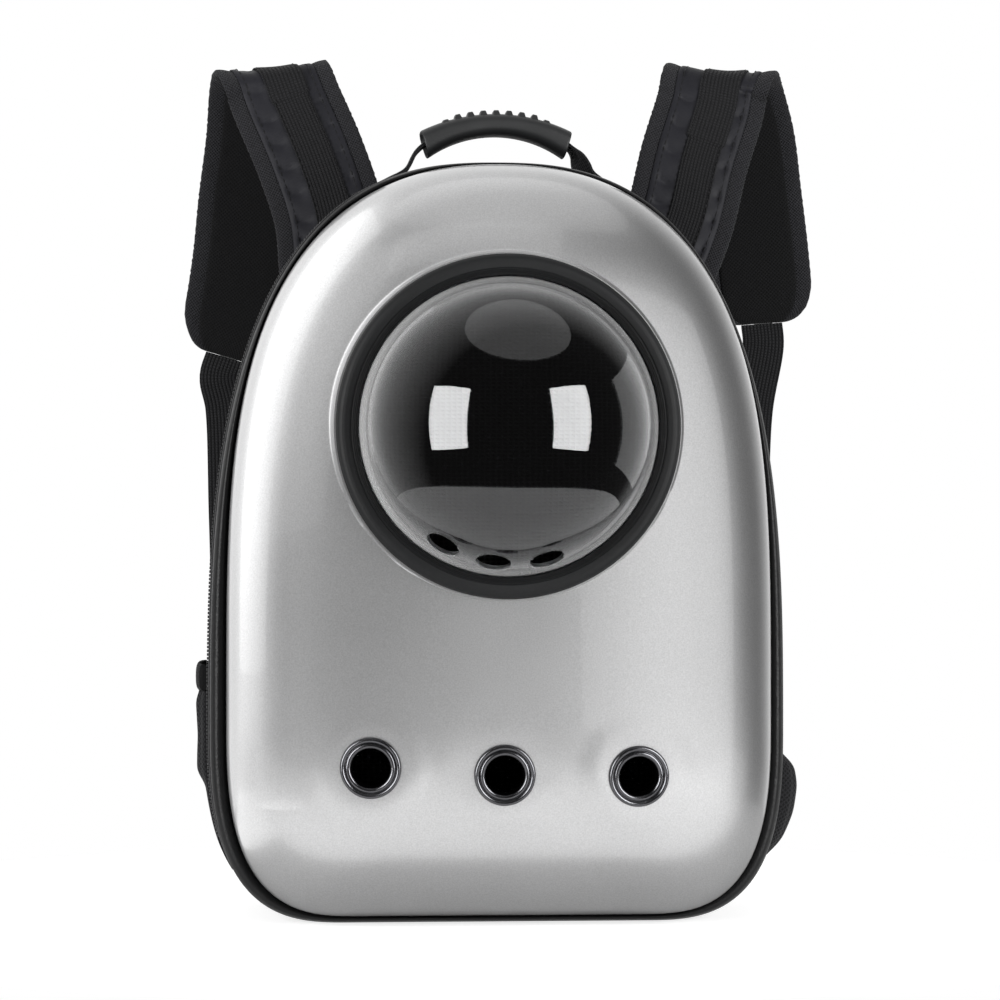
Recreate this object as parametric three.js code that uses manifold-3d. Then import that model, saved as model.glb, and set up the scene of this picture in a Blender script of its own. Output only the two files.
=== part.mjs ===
// Pet carrier backpack with a hard moulded front, a clear half-round window, three vent
// eyelets, a soft body with a zip, a top handle and two padded shoulder straps.
// Millimetres. +X is to the right seen from the front, +Y runs back to the wearer, +Z is up.
// The origin lies on the floor, under the middle of the soft body.

import * as THREE from "three";
import { mergeVertices } from "three/addons/utils/BufferGeometryUtils.js";
import Module from "manifold-3d";

const wasm = await Module();
wasm.setup();

// Body outline seen from the front
const bodyWidth = 317;
const bodyHeight = 419;
const shoulderHeight = 110;
const cornerWidth = 76;
const cornerPower = 2.9;
const bodyArch = { sidePower: 2.6, topPower: 2.85 };
const shellArch = { sidePower: 2.3, topPower: 3.6 };

// Soft body
const gussetDepth = 101.6;
const gussetWall = 3;
const gussetBulge = 1.2;
const backPanelThickness = 11;
const backPanelRounding = 3;

// Dark band round the hard front, wider at the sides than at the top
const sideBand = 8.6;
const topBand = 1.9;
const baseBand = 4.6;
const bandDepth = 16;
const bandLipThickness = 2.2;
const bandLipReach = 5;

// Piping cords in the two seams of the soft body
const pipingWidth = 3.4;
const pipingStandOut = 1.3;

// Hard front
const shellWall = 2.4;
const shellSkirt = 12;
const crownDepth = 74;
const crownPower = 3;

// Clear dome with its window ring and the raised round seat under them
const windowHeight = 271.8;
const seatMargin = 1;
const seatRise = 2.4;
const seatFlare = 3.5;
const seatDepth = 24;
const domeRadius = 80;
const domeWall = 2.2;
const domeFlange = 8.2;
const domeFlangeThickness = 2.7;
const openingLedge = 4;
const ringWidth = 11.4;
const ringHeight = 8.8;
const domeHoleRadius = 9;
const domeHoleTilt = 66;
const domeHoleSpacing = 22.5;
const domeHoleTurn = -8;

// Vent eyelets
const ventHeight = 84.6;
const ventSpacing = 71.7;
const ventLift = 5;
const ventHoleRadius = 10.4;
const ventFlangeRadius = 16.5;
const ventBarrelWall = 1.3;
const ventRoll = 2.4;
const ventPadRise = 0.7;
const ventPadMargin = 0.8;
const ventBackMargin = 1.3;
const ventBackThickness = 1;

// Zip round the side and top of the soft body
const zipSetBack = 13.5;
const zipTapeWidth = 22;
const zipTapeThickness = 0.8;
const zipCoilWidth = 4;
const zipCoilHeight = 1.6;
const zipCoilChamfer = 1;

// Top handle
const handleSetBack = 48;
const handleShift = 3;
const handleSpan = 80;
const handleSag = 10.8;
const handleLift = 25.3;
const handleWebbingWidth = 25;
const handleWebbingThickness = 2.4;
const handleReach = 20;
const handleFootLength = 20;
const gripSideWall = 3;
const gripCover = 5.1;
const gripEndGrowth = 3.1;
const gripEndLean = 0.55;
const gripChannelOverrun = 1.08;
const gripRibCount = 9;
const gripRibPitch = 7;
const gripRibLength = 3.4;
const gripRibHeight = 2.2;
const gripRibWidth = 21;
const gripRibRoot = 1;
const gripEndRibShare = 0.45;

// Shoulder straps
const strapWidth = 65.5;
const strapThickness = 7;
const strapBindingWidth = 12;
const strapBindingThickness = 4.2;
const strapWebbingWidth = 23.5;
const strapWebbingThickness = 1.4;
const strapWebbingShift = 3;
const strapInset = 6.5;
const strapRise = 69;
const strapSway = 20;
const strapSlip = 10.5;
const strapStandOff = 60;
const padEndStart = 0.89;
const padEndWidth = 0.42;
const tailWidth = 25;
const tailThickness = 1.6;

// Elastic side pockets
const pocketWidth = 62;
const pocketSetBack = 66;
const pocketWall = 1.4;
const pocketBulge = 16;
const pocketTop = 125;
const pocketBase = 26;
const pocketSidePower = 4;
const pocketEdgePower = 0.75;
const hemHeight = 15;
const hemThickness = 4.4;

// Clearances between pieces that touch on the real object, and how far a cut runs past a wall
const seamGap = 0.3;
const curvedGap = 0.7;
const zipGap = 0.4;
const cutOver = 5;

// Steps of the faceted outlines
const cornerSteps = 6;
const archSteps = 12;
const roundSteps = 32;
const ventSteps = 14;
const domeArcSteps = 7;
const strapSteps = 15;
const tailSteps = 16;
const handleSteps = 30;
const gripSteps = 10;
const pocketColumns = 6;
const hemSides = 6;
const searchRounds = 40;

const radians = Math.PI / 180;
const halfWidth = bodyWidth / 2;
const strapSpread = halfWidth - strapInset;
const strapPeakHeight = bodyHeight + strapRise;

// Stations along the depth, from the front of the band to the back of the panel
const gussetFront = -gussetDepth / 2;
const gussetBack = gussetDepth / 2;
const frontPipingStart = gussetFront - seamGap - pipingWidth;
const bandBack = frontPipingStart - seamGap;
const lipFront = bandBack - bandLipThickness;
const shellEdge = lipFront - seamGap;
const bandFront = shellEdge - bandDepth;
const crownFront = shellEdge - shellSkirt - crownDepth;
const seatPlane = crownFront - seatRise;
const rearPipingStart = gussetBack + seamGap;
const backPanelFront = rearPipingStart + pipingWidth + seamGap;
const backPanelFace = backPanelFront + backPanelThickness;

// Body outline: insets give how far each side of the outline is drawn in
const noInset = { side: 0, top: 0, base: 0, arch: bodyArch };
const shellInset = { side: sideBand, top: topBand, base: baseBand, arch: shellArch };

function deeper(insets, amount) {
  return {
    side: insets.side + amount,
    top: insets.top + amount,
    base: insets.base + amount,
    arch: insets.arch,
  };
}

function outlineSizes(insets) {
  const half = halfWidth - insets.side;
  const top = bodyHeight - insets.top;
  const share = (top - insets.base) / bodyHeight;
  return {
    half,
    top,
    base: insets.base,
    shoulder: insets.base + shoulderHeight * share,
    corner: (cornerWidth * half) / halfWidth,
  };
}

// Closed outline as [x, z] pairs, anticlockwise seen from the front, starting at the base
function outlinePoints(insets) {
  const size = outlineSizes(insets);
  const cornerHeight = size.shoulder - size.base;
  const archHeight = size.top - size.shoulder;
  const right = [];
  for (let step = 0; step <= cornerSteps; step += 1) {
    const turn = (step / cornerSteps) * (Math.PI / 2);
    const across = Math.pow(Math.sin(turn), 2 / cornerPower);
    const down = Math.pow(Math.cos(turn), 2 / cornerPower);
    right.push([size.half - size.corner * (1 - across), size.shoulder - cornerHeight * down]);
  }
  for (let step = 1; step < archSteps; step += 1) {
    const turn = (step / archSteps) * (Math.PI / 2);
    const across = Math.pow(Math.cos(turn), 2 / insets.arch.sidePower);
    const up = Math.pow(Math.sin(turn), 2 / insets.arch.topPower);
    right.push([size.half * across, size.shoulder + archHeight * up]);
  }
  const left = right.map(([x, z]) => [-x, z]).reverse();
  return [[0, size.base], ...right, [0, size.top], ...left];
}

// Height on the arch at a given distance from the centre line, and width at a given height
function archHeightAt(x, insets) {
  const size = outlineSizes(insets);
  const { sidePower, topPower } = insets.arch;
  const across = Math.pow(Math.abs(x) / size.half, sidePower);
  return size.shoulder + (size.top - size.shoulder) * Math.pow(1 - across, 1 / topPower);
}

function halfWidthAt(z, insets) {
  const size = outlineSizes(insets);
  if (z >= size.shoulder) {
    const { sidePower, topPower } = insets.arch;
    const up = Math.pow((z - size.shoulder) / (size.top - size.shoulder), topPower);
    return size.half * Math.pow(1 - up, 1 / sidePower);
  }
  const down = Math.pow((size.shoulder - z) / (size.shoulder - size.base), cornerPower);
  return size.half - size.corner * (1 - Math.pow(1 - down, 1 / cornerPower));
}

// Outward unit normals of a closed outline of [x, z] pairs
function outlineNormals(points) {
  return points.map((point, index) => {
    const before = points[(index + points.length - 1) % points.length];
    const after = points[(index + 1) % points.length];
    const length = Math.hypot(after[0] - before[0], after[1] - before[1]);
    return [(after[1] - before[1]) / length, -(after[0] - before[0]) / length];
  });
}

// What stands out from the outline fades to nothing under the flat base
const fadeRate = 1.01;

function baseFade(normal) {
  return normal[1] < 0 ? Math.max(0, 1 + fadeRate * normal[1]) : 1;
}

function gussetStandOut(y) {
  const share = (y - gussetFront) / gussetDepth;
  return gussetBulge * 4 * share * (1 - share);
}

// Solids from rings of points. Every ring has as many points as the next.
function ringsToSolid(rings, closed) {
  const count = rings[0].length;
  const positions = rings.flat().flatMap((point) => [point.x, point.y, point.z]);
  const indices = [];
  const spans = closed ? rings.length : rings.length - 1;
  for (let span = 0; span < spans; span += 1) {
    const start = span * count;
    const next = ((span + 1) % rings.length) * count;
    for (let side = 0; side < count; side += 1) {
      const other = (side + 1) % count;
      indices.push(start + side, next + side, next + other);
      indices.push(start + side, next + other, start + other);
    }
  }
  if (!closed) {
    capRing(positions, indices, rings[0], 0, true);
    capRing(positions, indices, rings[rings.length - 1], (rings.length - 1) * count, false);
  }
  const geometry = new THREE.BufferGeometry();
  geometry.setAttribute("position", new THREE.Float32BufferAttribute(positions, 3));
  geometry.setIndex(indices);
  return facingOut(geometry);
}

function capRing(positions, indices, ring, start, first) {
  const middle = new THREE.Vector3();
  ring.forEach((point) => middle.addScaledVector(point, 1 / ring.length));
  const centre = positions.length / 3;
  positions.push(middle.x, middle.y, middle.z);
  ring.forEach((point, side) => {
    const other = (side + 1) % ring.length;
    const pair = first ? [start + side, start + other] : [start + other, start + side];
    indices.push(centre, ...pair);
  });
}

// Merges equal corners, drops empty triangles and turns the faces outwards
function facingOut(geometry) {
  geometry.deleteAttribute("normal");
  geometry.deleteAttribute("uv");
  const merged = mergeVertices(geometry, 1e-4);
  const position = merged.getAttribute("position");
  const corners = merged.getIndex().array;
  const kept = [];
  let volume = 0;
  const a = new THREE.Vector3();
  const b = new THREE.Vector3();
  const c = new THREE.Vector3();
  for (let start = 0; start < corners.length; start += 3) {
    const [i, j, k] = [corners[start], corners[start + 1], corners[start + 2]];
    if (i !== j && j !== k && k !== i) {
      kept.push([i, j, k]);
      a.fromBufferAttribute(position, i);
      b.fromBufferAttribute(position, j);
      c.fromBufferAttribute(position, k);
      volume += a.dot(b.cross(c));
    }
  }
  merged.setIndex(kept.flatMap(([i, j, k]) => (volume < 0 ? [i, k, j] : [i, j, k])));
  return merged;
}

// A closed profile of [radius, forward] pairs turned about the line that points to the front
function turned(profile, steps) {
  const closed = [...profile, profile[0]];
  const points = closed.map(([radius, forward]) => new THREE.Vector2(radius, -forward));
  return facingOut(new THREE.LatheGeometry(points, steps));
}

function toManifold(geometry) {
  const position = geometry.getAttribute("position");
  return new wasm.Manifold(new wasm.Mesh({
    numProp: 3,
    vertProperties: new Float32Array(position.array),
    triVerts: new Uint32Array(geometry.getIndex().array),
  }));
}

function fromManifold(solid) {
  const mesh = solid.getMesh();
  const geometry = new THREE.BufferGeometry();
  geometry.setAttribute("position", new THREE.BufferAttribute(mesh.vertProperties, 3));
  geometry.setIndex(new THREE.BufferAttribute(mesh.triVerts, 1));
  return geometry;
}

// Hard front
// Each row draws the outline in by a share of the half width. The depth follows by a formula.
const crownRows = [0, 0.012, 0.04, 0.09, 0.17, 0.3, 0.58];

function crownForward(share) {
  return Math.pow(1 - Math.pow(1 - share, crownPower), 1 / crownPower);
}

function crownRings(insets, edge, depth) {
  const half = outlineSizes(insets).half;
  const rings = [outlinePoints(insets).map(([x, z]) => new THREE.Vector3(x, edge, z))];
  crownRows.forEach((share) => {
    const y = shellEdge - shellSkirt - depth * crownForward(share);
    const points = outlinePoints(deeper(insets, share * half));
    rings.push(points.map(([x, z]) => new THREE.Vector3(x, y, z)));
  });
  return rings;
}

// Front surface of the crown over a point of the outline's plane
function crownFaceAt(x, z) {
  const half = outlineSizes(shellInset).half;
  let near = 0;
  let far = half * crownRows[crownRows.length - 1];
  const farInsets = deeper(shellInset, far);
  const within = z > farInsets.base && z < bodyHeight - farInsets.top;
  if (within && Math.abs(x) <= halfWidthAt(z, farInsets)) {
    return shellEdge - shellSkirt - crownDepth * crownForward(far / half);
  }
  for (let round = 0; round < searchRounds; round += 1) {
    const middle = (near + far) / 2;
    const insets = deeper(shellInset, middle);
    const inside = z > insets.base && z < bodyHeight - insets.top;
    if (inside && Math.abs(x) <= halfWidthAt(z, insets)) {
      near = middle;
    } else {
      far = middle;
    }
  }
  return shellEdge - shellSkirt - crownDepth * crownForward(near / half);
}

const ringInner = domeRadius + 2 * seamGap;
const ringOuter = ringInner + ringWidth;
const seatRadius = ringOuter + seatMargin;

function seatDisc(radius, face) {
  const profile = [[0, 0], [radius, 0], [radius + seatFlare, -seatDepth], [0, -seatDepth]];
  return turned(profile, roundSteps).translate(0, face, windowHeight);
}

// Where the vents sit. Columns: across (share of the spacing) and lift (share of the height
// by which the left one sits above the right one).
const ventPlaces = {
  left: { across: -1.02, lift: 1 },
  middle: { across: -0.02, lift: 0.2 },
  right: { across: 0.985, lift: 0 },
};

// A vent's own frame: on the crown's surface, with its local Y along the inward normal
function ventFrame(place) {
  const reach = ventFlangeRadius;
  const x = place.across * ventSpacing;
  const z = ventHeight + place.lift * ventLift;
  const slopeX = (crownFaceAt(x - reach, z) - crownFaceAt(x + reach, z)) / (2 * reach);
  const slopeZ = (crownFaceAt(x, z - reach) - crownFaceAt(x, z + reach)) / (2 * reach);
  const inward = new THREE.Vector3(slopeX, 1, slopeZ).normalize();
  const frame = new THREE.Object3D();
  frame.quaternion.setFromUnitVectors(new THREE.Vector3(0, 1, 0), inward);
  frame.position.set(x, crownFaceAt(x, z), z);
  frame.updateMatrix();
  return frame.matrix;
}

const ventPadDepth = 2 * shellWall;
const ventPadRadius = ventFlangeRadius - ventPadMargin;
const ventBarrelRadius = ventHoleRadius + ventBarrelWall;
const ventBoreRadius = ventBarrelRadius + seamGap;

function plainDisc(radius, front, back, steps) {
  return turned([[0, front], [radius, front], [radius, back], [0, back]], steps);
}

function frontShell() {
  const inner = deeper(shellInset, shellWall);
  const past = shellEdge + cutOver;
  const outerRings = crownRings(shellInset, shellEdge, crownDepth);
  const innerRings = crownRings(inner, past, crownDepth - shellWall);
  const outerCrown = toManifold(ringsToSolid(outerRings, false));
  const innerCrown = toManifold(ringsToSolid(innerRings, false));
  const outerSeat = toManifold(seatDisc(seatRadius, seatPlane));
  const innerSeat = toManifold(seatDisc(seatRadius - shellWall, seatPlane + shellWall));
  let shell = outerCrown.add(outerSeat).subtract(innerCrown.add(innerSeat));
  const opening = plainDisc(domeRadius - openingLedge, cutOver, -seatDepth - cutOver, roundSteps);
  shell = shell.subtract(toManifold(opening.translate(0, seatPlane, windowHeight)));
  for (const place of Object.values(ventPlaces)) {
    const frame = ventFrame(place);
    const pad = plainDisc(ventPadRadius, ventPadRise, -ventPadDepth, ventSteps);
    const bore = plainDisc(ventBoreRadius, cutOver, -ventPadDepth - cutOver, ventSteps);
    pad.rotateY(Math.PI / ventSteps);
    shell = shell.add(toManifold(pad.applyMatrix4(frame)));
    shell = shell.subtract(toManifold(bore.applyMatrix4(frame)));
  }
  return fromManifold(shell);
}

// Face of the window ring from its outer edge to the dome. Columns: in (share of the ring's
// width) and up (share of its height).
const ringRows = [
  { in: 0, up: 0.55 },
  { in: 0.13, up: 0.85 },
  { in: 0.4, up: 1 },
  { in: 0.7, up: 1 },
  { in: 0.92, up: 0.86 },
  { in: 1, up: 0.66 },
];

// Profiles hold [radius, forward of the seat]
function windowRing() {
  const pocketEdge = domeRadius + domeFlange + seamGap;
  const pocketFace = domeFlangeThickness + 2 * seamGap;
  const profile = [
    [ringOuter, seamGap],
    ...ringRows.map((row) => [ringOuter - row.in * ringWidth, row.up * ringHeight]),
    [ringInner, pocketFace],
    [pocketEdge, pocketFace],
    [pocketEdge, seamGap],
  ];
  return turned(profile, roundSteps).translate(0, seatPlane, windowHeight);
}

// Quarter arc from the tip of the dome, stopping short of its equator by `start`
function domeArc(radius, start) {
  const points = [[0, radius]];
  for (let step = 1; step <= domeArcSteps; step += 1) {
    const lift = Math.PI / 2 - (Math.PI / 2 - start) * (step / domeArcSteps);
    points.push([radius * Math.cos(lift), radius * Math.sin(lift)]);
  }
  return points;
}

function windowDome() {
  const inner = domeRadius - domeWall;
  const flangeTop = seamGap + domeFlangeThickness;
  const profile = [
    ...domeArc(domeRadius, Math.asin(flangeTop / domeRadius)),
    [domeRadius + domeFlange, flangeTop],
    [domeRadius + domeFlange, seamGap],
    ...domeArc(inner, Math.asin(seamGap / inner)).reverse(),
  ];
  let dome = toManifold(turned(profile, roundSteps));
  for (const place of [-1, 0, 1]) {
    const past = 2 * cutOver;
    const bore = plainDisc(domeHoleRadius, domeRadius + past, domeRadius - past, ventSteps);
    bore.rotateX(domeHoleTilt * radians);
    bore.rotateY(-(domeHoleTurn + place * domeHoleSpacing) * radians);
    dome = dome.subtract(toManifold(bore));
  }
  return fromManifold(dome).translate(0, seatPlane, windowHeight);
}

// Rolled front of a vent eyelet. Columns: out (share of the way from the hole to the flange's
// edge) and lift (share of the roll's height).
const ventRollRows = [
  { out: 0.97, lift: 0.55 },
  { out: 0.74, lift: 1 },
  { out: 0.31, lift: 1 },
  { out: 0.05, lift: 0.6 },
  { out: 0, lift: 0 },
];

// Profile of [radius, forward of the pad's face]
function ventGrommet(place) {
  const behind = -(ventPadDepth + ventPadRise + seamGap);
  const backFlange = ventFlangeRadius - ventBackMargin;
  const span = ventFlangeRadius - ventHoleRadius;
  const profile = [
    [ventBarrelRadius, seamGap],
    [ventFlangeRadius, seamGap],
    ...ventRollRows.map((row) => [ventHoleRadius + row.out * span, row.lift * ventRoll]),
    [ventHoleRadius, behind - ventBackThickness],
    [backFlange, behind - ventBackThickness],
    [backFlange, behind],
    [ventBarrelRadius, behind],
  ];
  const geometry = turned(profile, ventSteps).translate(0, -ventPadRise, 0);
  return geometry.applyMatrix4(ventFrame(place));
}

// Sweeps a section round the body. Each row of the section has `share` (0 on the hard front's
// edge, 1 on the body outline), `out` (outwards from there) and `y`.
function sweepRound(section, from, to) {
  const body = outlinePoints(noInset);
  const shell = outlinePoints(shellInset);
  const normals = outlineNormals(body);
  const rings = [];
  for (let index = from; index <= to; index += 1) {
    const normal = normals[index];
    rings.push(section.map((row) => {
      const out = row.out > 0 && row.share === 1 ? row.out * baseFade(normal) : row.out;
      const x = THREE.MathUtils.lerp(shell[index][0], body[index][0], row.share);
      const z = THREE.MathUtils.lerp(shell[index][1], body[index][1], row.share);
      return new THREE.Vector3(x + normal[0] * out, row.y, z + normal[1] * out);
    }));
  }
  return ringsToSolid(rings, to - from === body.length - 1);
}

const lastOutlineIndex = outlinePoints(noInset).length - 1;

function rimBand() {
  const section = [
    { share: 0, out: seamGap, y: bandFront + bandDepth * 0.16 },
    { share: 0.22, out: 0, y: bandFront + bandDepth * 0.03 },
    { share: 0.5, out: 0, y: bandFront },
    { share: 0.8, out: 0, y: bandFront + bandDepth * 0.06 },
    { share: 1, out: 0, y: bandFront + bandDepth * 0.24 },
    { share: 1, out: 0, y: bandBack },
    { share: 0, out: -bandLipReach, y: bandBack },
    { share: 0, out: -bandLipReach, y: lipFront },
    { share: 0, out: seamGap, y: lipFront },
  ];
  return sweepRound(section, 0, lastOutlineIndex);
}

function piping(start) {
  const section = [
    { share: 1, out: -gussetWall, y: start },
    { share: 1, out: pipingStandOut * 0.2, y: start },
    { share: 1, out: pipingStandOut, y: start + pipingWidth * 0.25 },
    { share: 1, out: pipingStandOut, y: start + pipingWidth * 0.75 },
    { share: 1, out: pipingStandOut * 0.2, y: start + pipingWidth },
    { share: 1, out: -gussetWall, y: start + pipingWidth },
  ];
  return sweepRound(section, 0, lastOutlineIndex);
}

function gusset() {
  const outer = [0, 0.14, 0.5, 0.86, 1].map((share) => {
    const y = gussetFront + share * gussetDepth;
    return { share: 1, out: gussetStandOut(y), y };
  });
  const inner = [
    { share: 1, out: -gussetWall, y: gussetBack },
    { share: 1, out: -gussetWall, y: gussetFront },
  ];
  return sweepRound([...outer, ...inner], 0, lastOutlineIndex);
}

function backPanel() {
  const rows = [
    { inset: 0, y: backPanelFront },
    { inset: 0, y: backPanelFace - backPanelRounding },
    { inset: backPanelRounding * 0.3, y: backPanelFace - backPanelRounding * 0.3 },
    { inset: backPanelRounding, y: backPanelFace },
  ];
  const rings = rows.map((row) => {
    const points = outlinePoints(deeper(noInset, row.inset));
    return points.map(([x, z]) => new THREE.Vector3(x, row.y, z));
  });
  return ringsToSolid(rings, false);
}

// Zip: it starts and ends part way up the lower corners
const zipCentre = gussetFront + zipSetBack;
const zipStart = cornerSteps - 1;
const zipEnd = lastOutlineIndex + 1 - zipStart;

function zipStrip(width, inner, thickness, narrowing) {
  const front = zipCentre - width / 2;
  const back = zipCentre + width / 2;
  const section = [
    { share: 1, out: gussetStandOut(front) + inner, y: front },
    { share: 1, out: gussetStandOut(front) + inner + thickness, y: front + narrowing },
    { share: 1, out: gussetStandOut(back) + inner + thickness, y: back - narrowing },
    { share: 1, out: gussetStandOut(back) + inner, y: back },
  ];
  return sweepRound(section, zipStart, zipEnd);
}

// Ribbons: rings of a section carried along a route of frames
function ribbonRings(frames, section) {
  return frames.map((frame) => section.map(([across, through]) => {
    const point = frame.point.clone();
    point.addScaledVector(frame.across, across * frame.width);
    return point.addScaledVector(frame.through, through);
  }));
}

// Frames along a smooth curve at the given shares of its length parameter. `acrossAt` gives
// the width direction for a share of the route, `widthAt` the share of the full width.
function curveFrames(points, shares, acrossAt, widthAt) {
  const curve = new THREE.CatmullRomCurve3(points, false, "centripetal");
  return shares.map((share) => {
    const tangent = curve.getTangent(share);
    const across = acrossAt(share);
    across.addScaledVector(tangent, -across.dot(tangent)).normalize();
    const through = new THREE.Vector3().crossVectors(tangent, across);
    return { point: curve.getPoint(share), tangent, across, through, width: widthAt(share) };
  });
}

function evenShares(steps, last) {
  return Array.from({ length: steps + 1 }, (_, step) => (last * step) / steps);
}

function tiltAt(rows, share) {
  const place = share * (rows.length - 1);
  const row = Math.min(Math.floor(place), rows.length - 2);
  return THREE.MathUtils.lerp(rows[row].tilt, rows[row + 1].tilt, place - row);
}

function routeFrames(rows, shares, widthAt) {
  const points = rows.map((row) => new THREE.Vector3(row.x, row.y, row.z));
  const acrossAt = (share) => {
    const tilt = tiltAt(rows, share) * radians;
    return new THREE.Vector3(Math.cos(tilt), 0, Math.sin(tilt));
  };
  return curveFrames(points, shares, acrossAt, widthAt);
}

// Shoulder strap route. Columns: out (share of the spread), back (share of the stand-off
// behind the back panel), up (share of the peak height), sway (share of the common lean),
// slip (share of how much lower the left pad hangs) and tilt (degrees that the width leans).
const strapRoute = [
  { out: 0.59, back: 0, up: 0.7, sway: 0.25, slip: 0, tilt: 8 },
  { out: 0.635, back: 0, up: 0.76, sway: 0.5, slip: 0, tilt: 15 },
  { out: 0.683, back: 0.1, up: 0.82, sway: 0.72, slip: 0, tilt: 18 },
  { out: 0.748, back: 0.24, up: 0.89, sway: 0.68, slip: 0, tilt: 17 },
  { out: 0.826, back: 0.4, up: 0.955, sway: 0.62, slip: 0, tilt: 12 },
  { out: 0.862, back: 0.5, up: 0.988, sway: 0.56, slip: 0, tilt: 7 },
  { out: 0.9, back: 0.68, up: 0.993, sway: 0.59, slip: 0, tilt: 3 },
  { out: 0.922, back: 0.84, up: 0.974, sway: 0.65, slip: 0, tilt: 0 },
  { out: 0.955, back: 0.95, up: 0.92, sway: 0.8, slip: 0.1, tilt: -4 },
  { out: 0.985, back: 1, up: 0.85, sway: 0.8, slip: 0.3, tilt: -6 },
  { out: 1.01, back: 1, up: 0.78, sway: 0.8, slip: 0.6, tilt: -4 },
  { out: 1.037, back: 0.97, up: 0.715, sway: 0.72, slip: 0.9, tilt: -2 },
  { out: 1.062, back: 0.95, up: 0.674, sway: 0.6, slip: 1, tilt: 0 },
];

// Plain webbing from the pad's end down to the lower corner of the back panel.
const tailRoute = [
  { out: 1.04, back: 0.88, up: 0.59, sway: 0.43 },
  { out: 1.015, back: 0.68, up: 0.45, sway: 0.35 },
  { out: 0.96, back: 0.36, up: 0.27, sway: 0.1 },
  { out: 0.9, back: 0.08, up: 0.165, sway: 0 },
  { out: 0.875, back: 0.003, up: 0.125, sway: 0 },
  { out: 0.85, back: 0, up: 0.085, sway: 0 },
];

function routePoint(row, side, seat) {
  return {
    x: side * row.out * strapSpread + row.sway * strapSway,
    y: backPanelFace + seat + row.back * strapStandOff,
    z: row.up * strapPeakHeight + side * (row.slip ?? 0) * strapSlip,
    tilt: -side * (row.tilt ?? 0),
  };
}

// The pad keeps its width and ends in a half round, drawn at these shares of its length
const padEndPlaces = [0.37, 0.73, 1];

function padWidthAt(share) {
  const along = Math.max(0, (share - padEndStart) / (1 - padEndStart));
  return padEndWidth + (1 - padEndWidth) * Math.sqrt(1 - along * along);
}

function strapFrames(side) {
  const seat = curvedGap + strapWebbingThickness + seamGap + strapThickness / 2;
  const ends = padEndPlaces.map((place) => THREE.MathUtils.lerp(padEndStart, 1, place));
  const shares = [...evenShares(strapSteps, padEndStart), ...ends];
  return routeFrames(strapRoute.map((row) => routePoint(row, side, seat)), shares, padWidthAt);
}

const padHalfWidth = strapWidth / 2 - strapBindingWidth - seamGap;
const webbingEdges = [
  strapWebbingShift - strapWebbingWidth / 2,
  strapWebbingShift + strapWebbingWidth / 2,
];

function strapPad(side) {
  const flat = strapThickness / 2;
  const [left, right] = webbingEdges;
  const section = [
    [-padHalfWidth, -flat],
    [left, -flat],
    [right, -flat],
    [padHalfWidth, -flat],
    [padHalfWidth, flat],
    [-padHalfWidth, flat],
  ];
  return ringsToSolid(ribbonRings(strapFrames(side), section), false);
}

function strapBinding(side, edge) {
  const half = strapBindingThickness / 2;
  const near = edge * (padHalfWidth + seamGap / padEndWidth);
  const far = edge * (strapWidth / 2);
  const shoulder = far - edge * half;
  const section = [[near, -half], [shoulder, -half], [far, 0], [shoulder, half], [near, half]];
  if (edge > 0) {
    section.reverse();
  }
  return ringsToSolid(ribbonRings(strapFrames(side), section), false);
}

function strapWebbing(side) {
  const inner = -strapThickness / 2 - seamGap;
  const outer = inner - strapWebbingThickness;
  const [left, right] = webbingEdges;
  const section = [[right, inner], [right, outer], [left, outer], [left, inner]];
  return ringsToSolid(ribbonRings(strapFrames(side), section), false);
}

function ribbonSection(width, thickness) {
  const half = width / 2;
  const thin = thickness / 2;
  return [[-half, -thin], [half, -thin], [half, thin], [-half, thin]];
}

function tailWebbing(side) {
  const pad = strapFrames(side);
  const end = pad[pad.length - 1];
  const start = end.point.clone().addScaledVector(end.tangent, seamGap);
  const lead = end.point.clone().addScaledVector(end.tangent, tailWidth / 2);
  const seat = curvedGap + tailThickness / 2;
  const rows = [
    { x: start.x, y: start.y, z: start.z, tilt: 0 },
    { x: lead.x, y: lead.y, z: lead.z, tilt: 0 },
    ...tailRoute.map((row) => routePoint(row, side, seat)),
  ];
  const section = ribbonSection(tailWidth, tailThickness);
  const frames = routeFrames(rows, evenShares(tailSteps, 1), () => 1);
  return ringsToSolid(ribbonRings(frames, section), false);
}

// Top handle
const handleY = gussetFront + handleSetBack;
const handleRadius = (handleSpan * handleSpan / 4 + handleSag * handleSag) / (2 * handleSag);
const handleTop = bodyHeight + gussetStandOut(handleY) + handleLift;
const handleEndTurn = Math.asin(handleSpan / 2 / handleRadius);

// Point on the handle's arc, lifted along a direction that leans a share of the turn
function handleArcPoint(turn, lift, lean) {
  const x = handleRadius * Math.sin(turn) + lift * Math.sin(turn * lean);
  const z = handleRadius * (Math.cos(turn) - 1) + lift * Math.cos(turn * lean);
  return new THREE.Vector2(x, handleTop + z);
}

// Resting place of the webbing on the soft body, at a distance from the handle's middle
function handleSeat(distance) {
  const lift = gussetStandOut(handleY) + curvedGap + handleWebbingThickness / 2;
  const step = 1;
  const height = archHeightAt(distance + handleShift, noInset);
  const slope = (archHeightAt(distance + handleShift + step, noInset) - height) / step;
  const length = Math.hypot(1, slope);
  return new THREE.Vector2(distance - (slope / length) * lift, height + lift / length);
}

// From the end of the grip down to the soft body. Columns: out (share of the webbing's reach
// past the grip) and lift (share of the grip's height above the seat).
const handleDrop = [
  { out: 0.24, lift: 0.74 },
  { out: 0.52, lift: 0.17 },
  { out: 1, lift: 0 },
];

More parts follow.
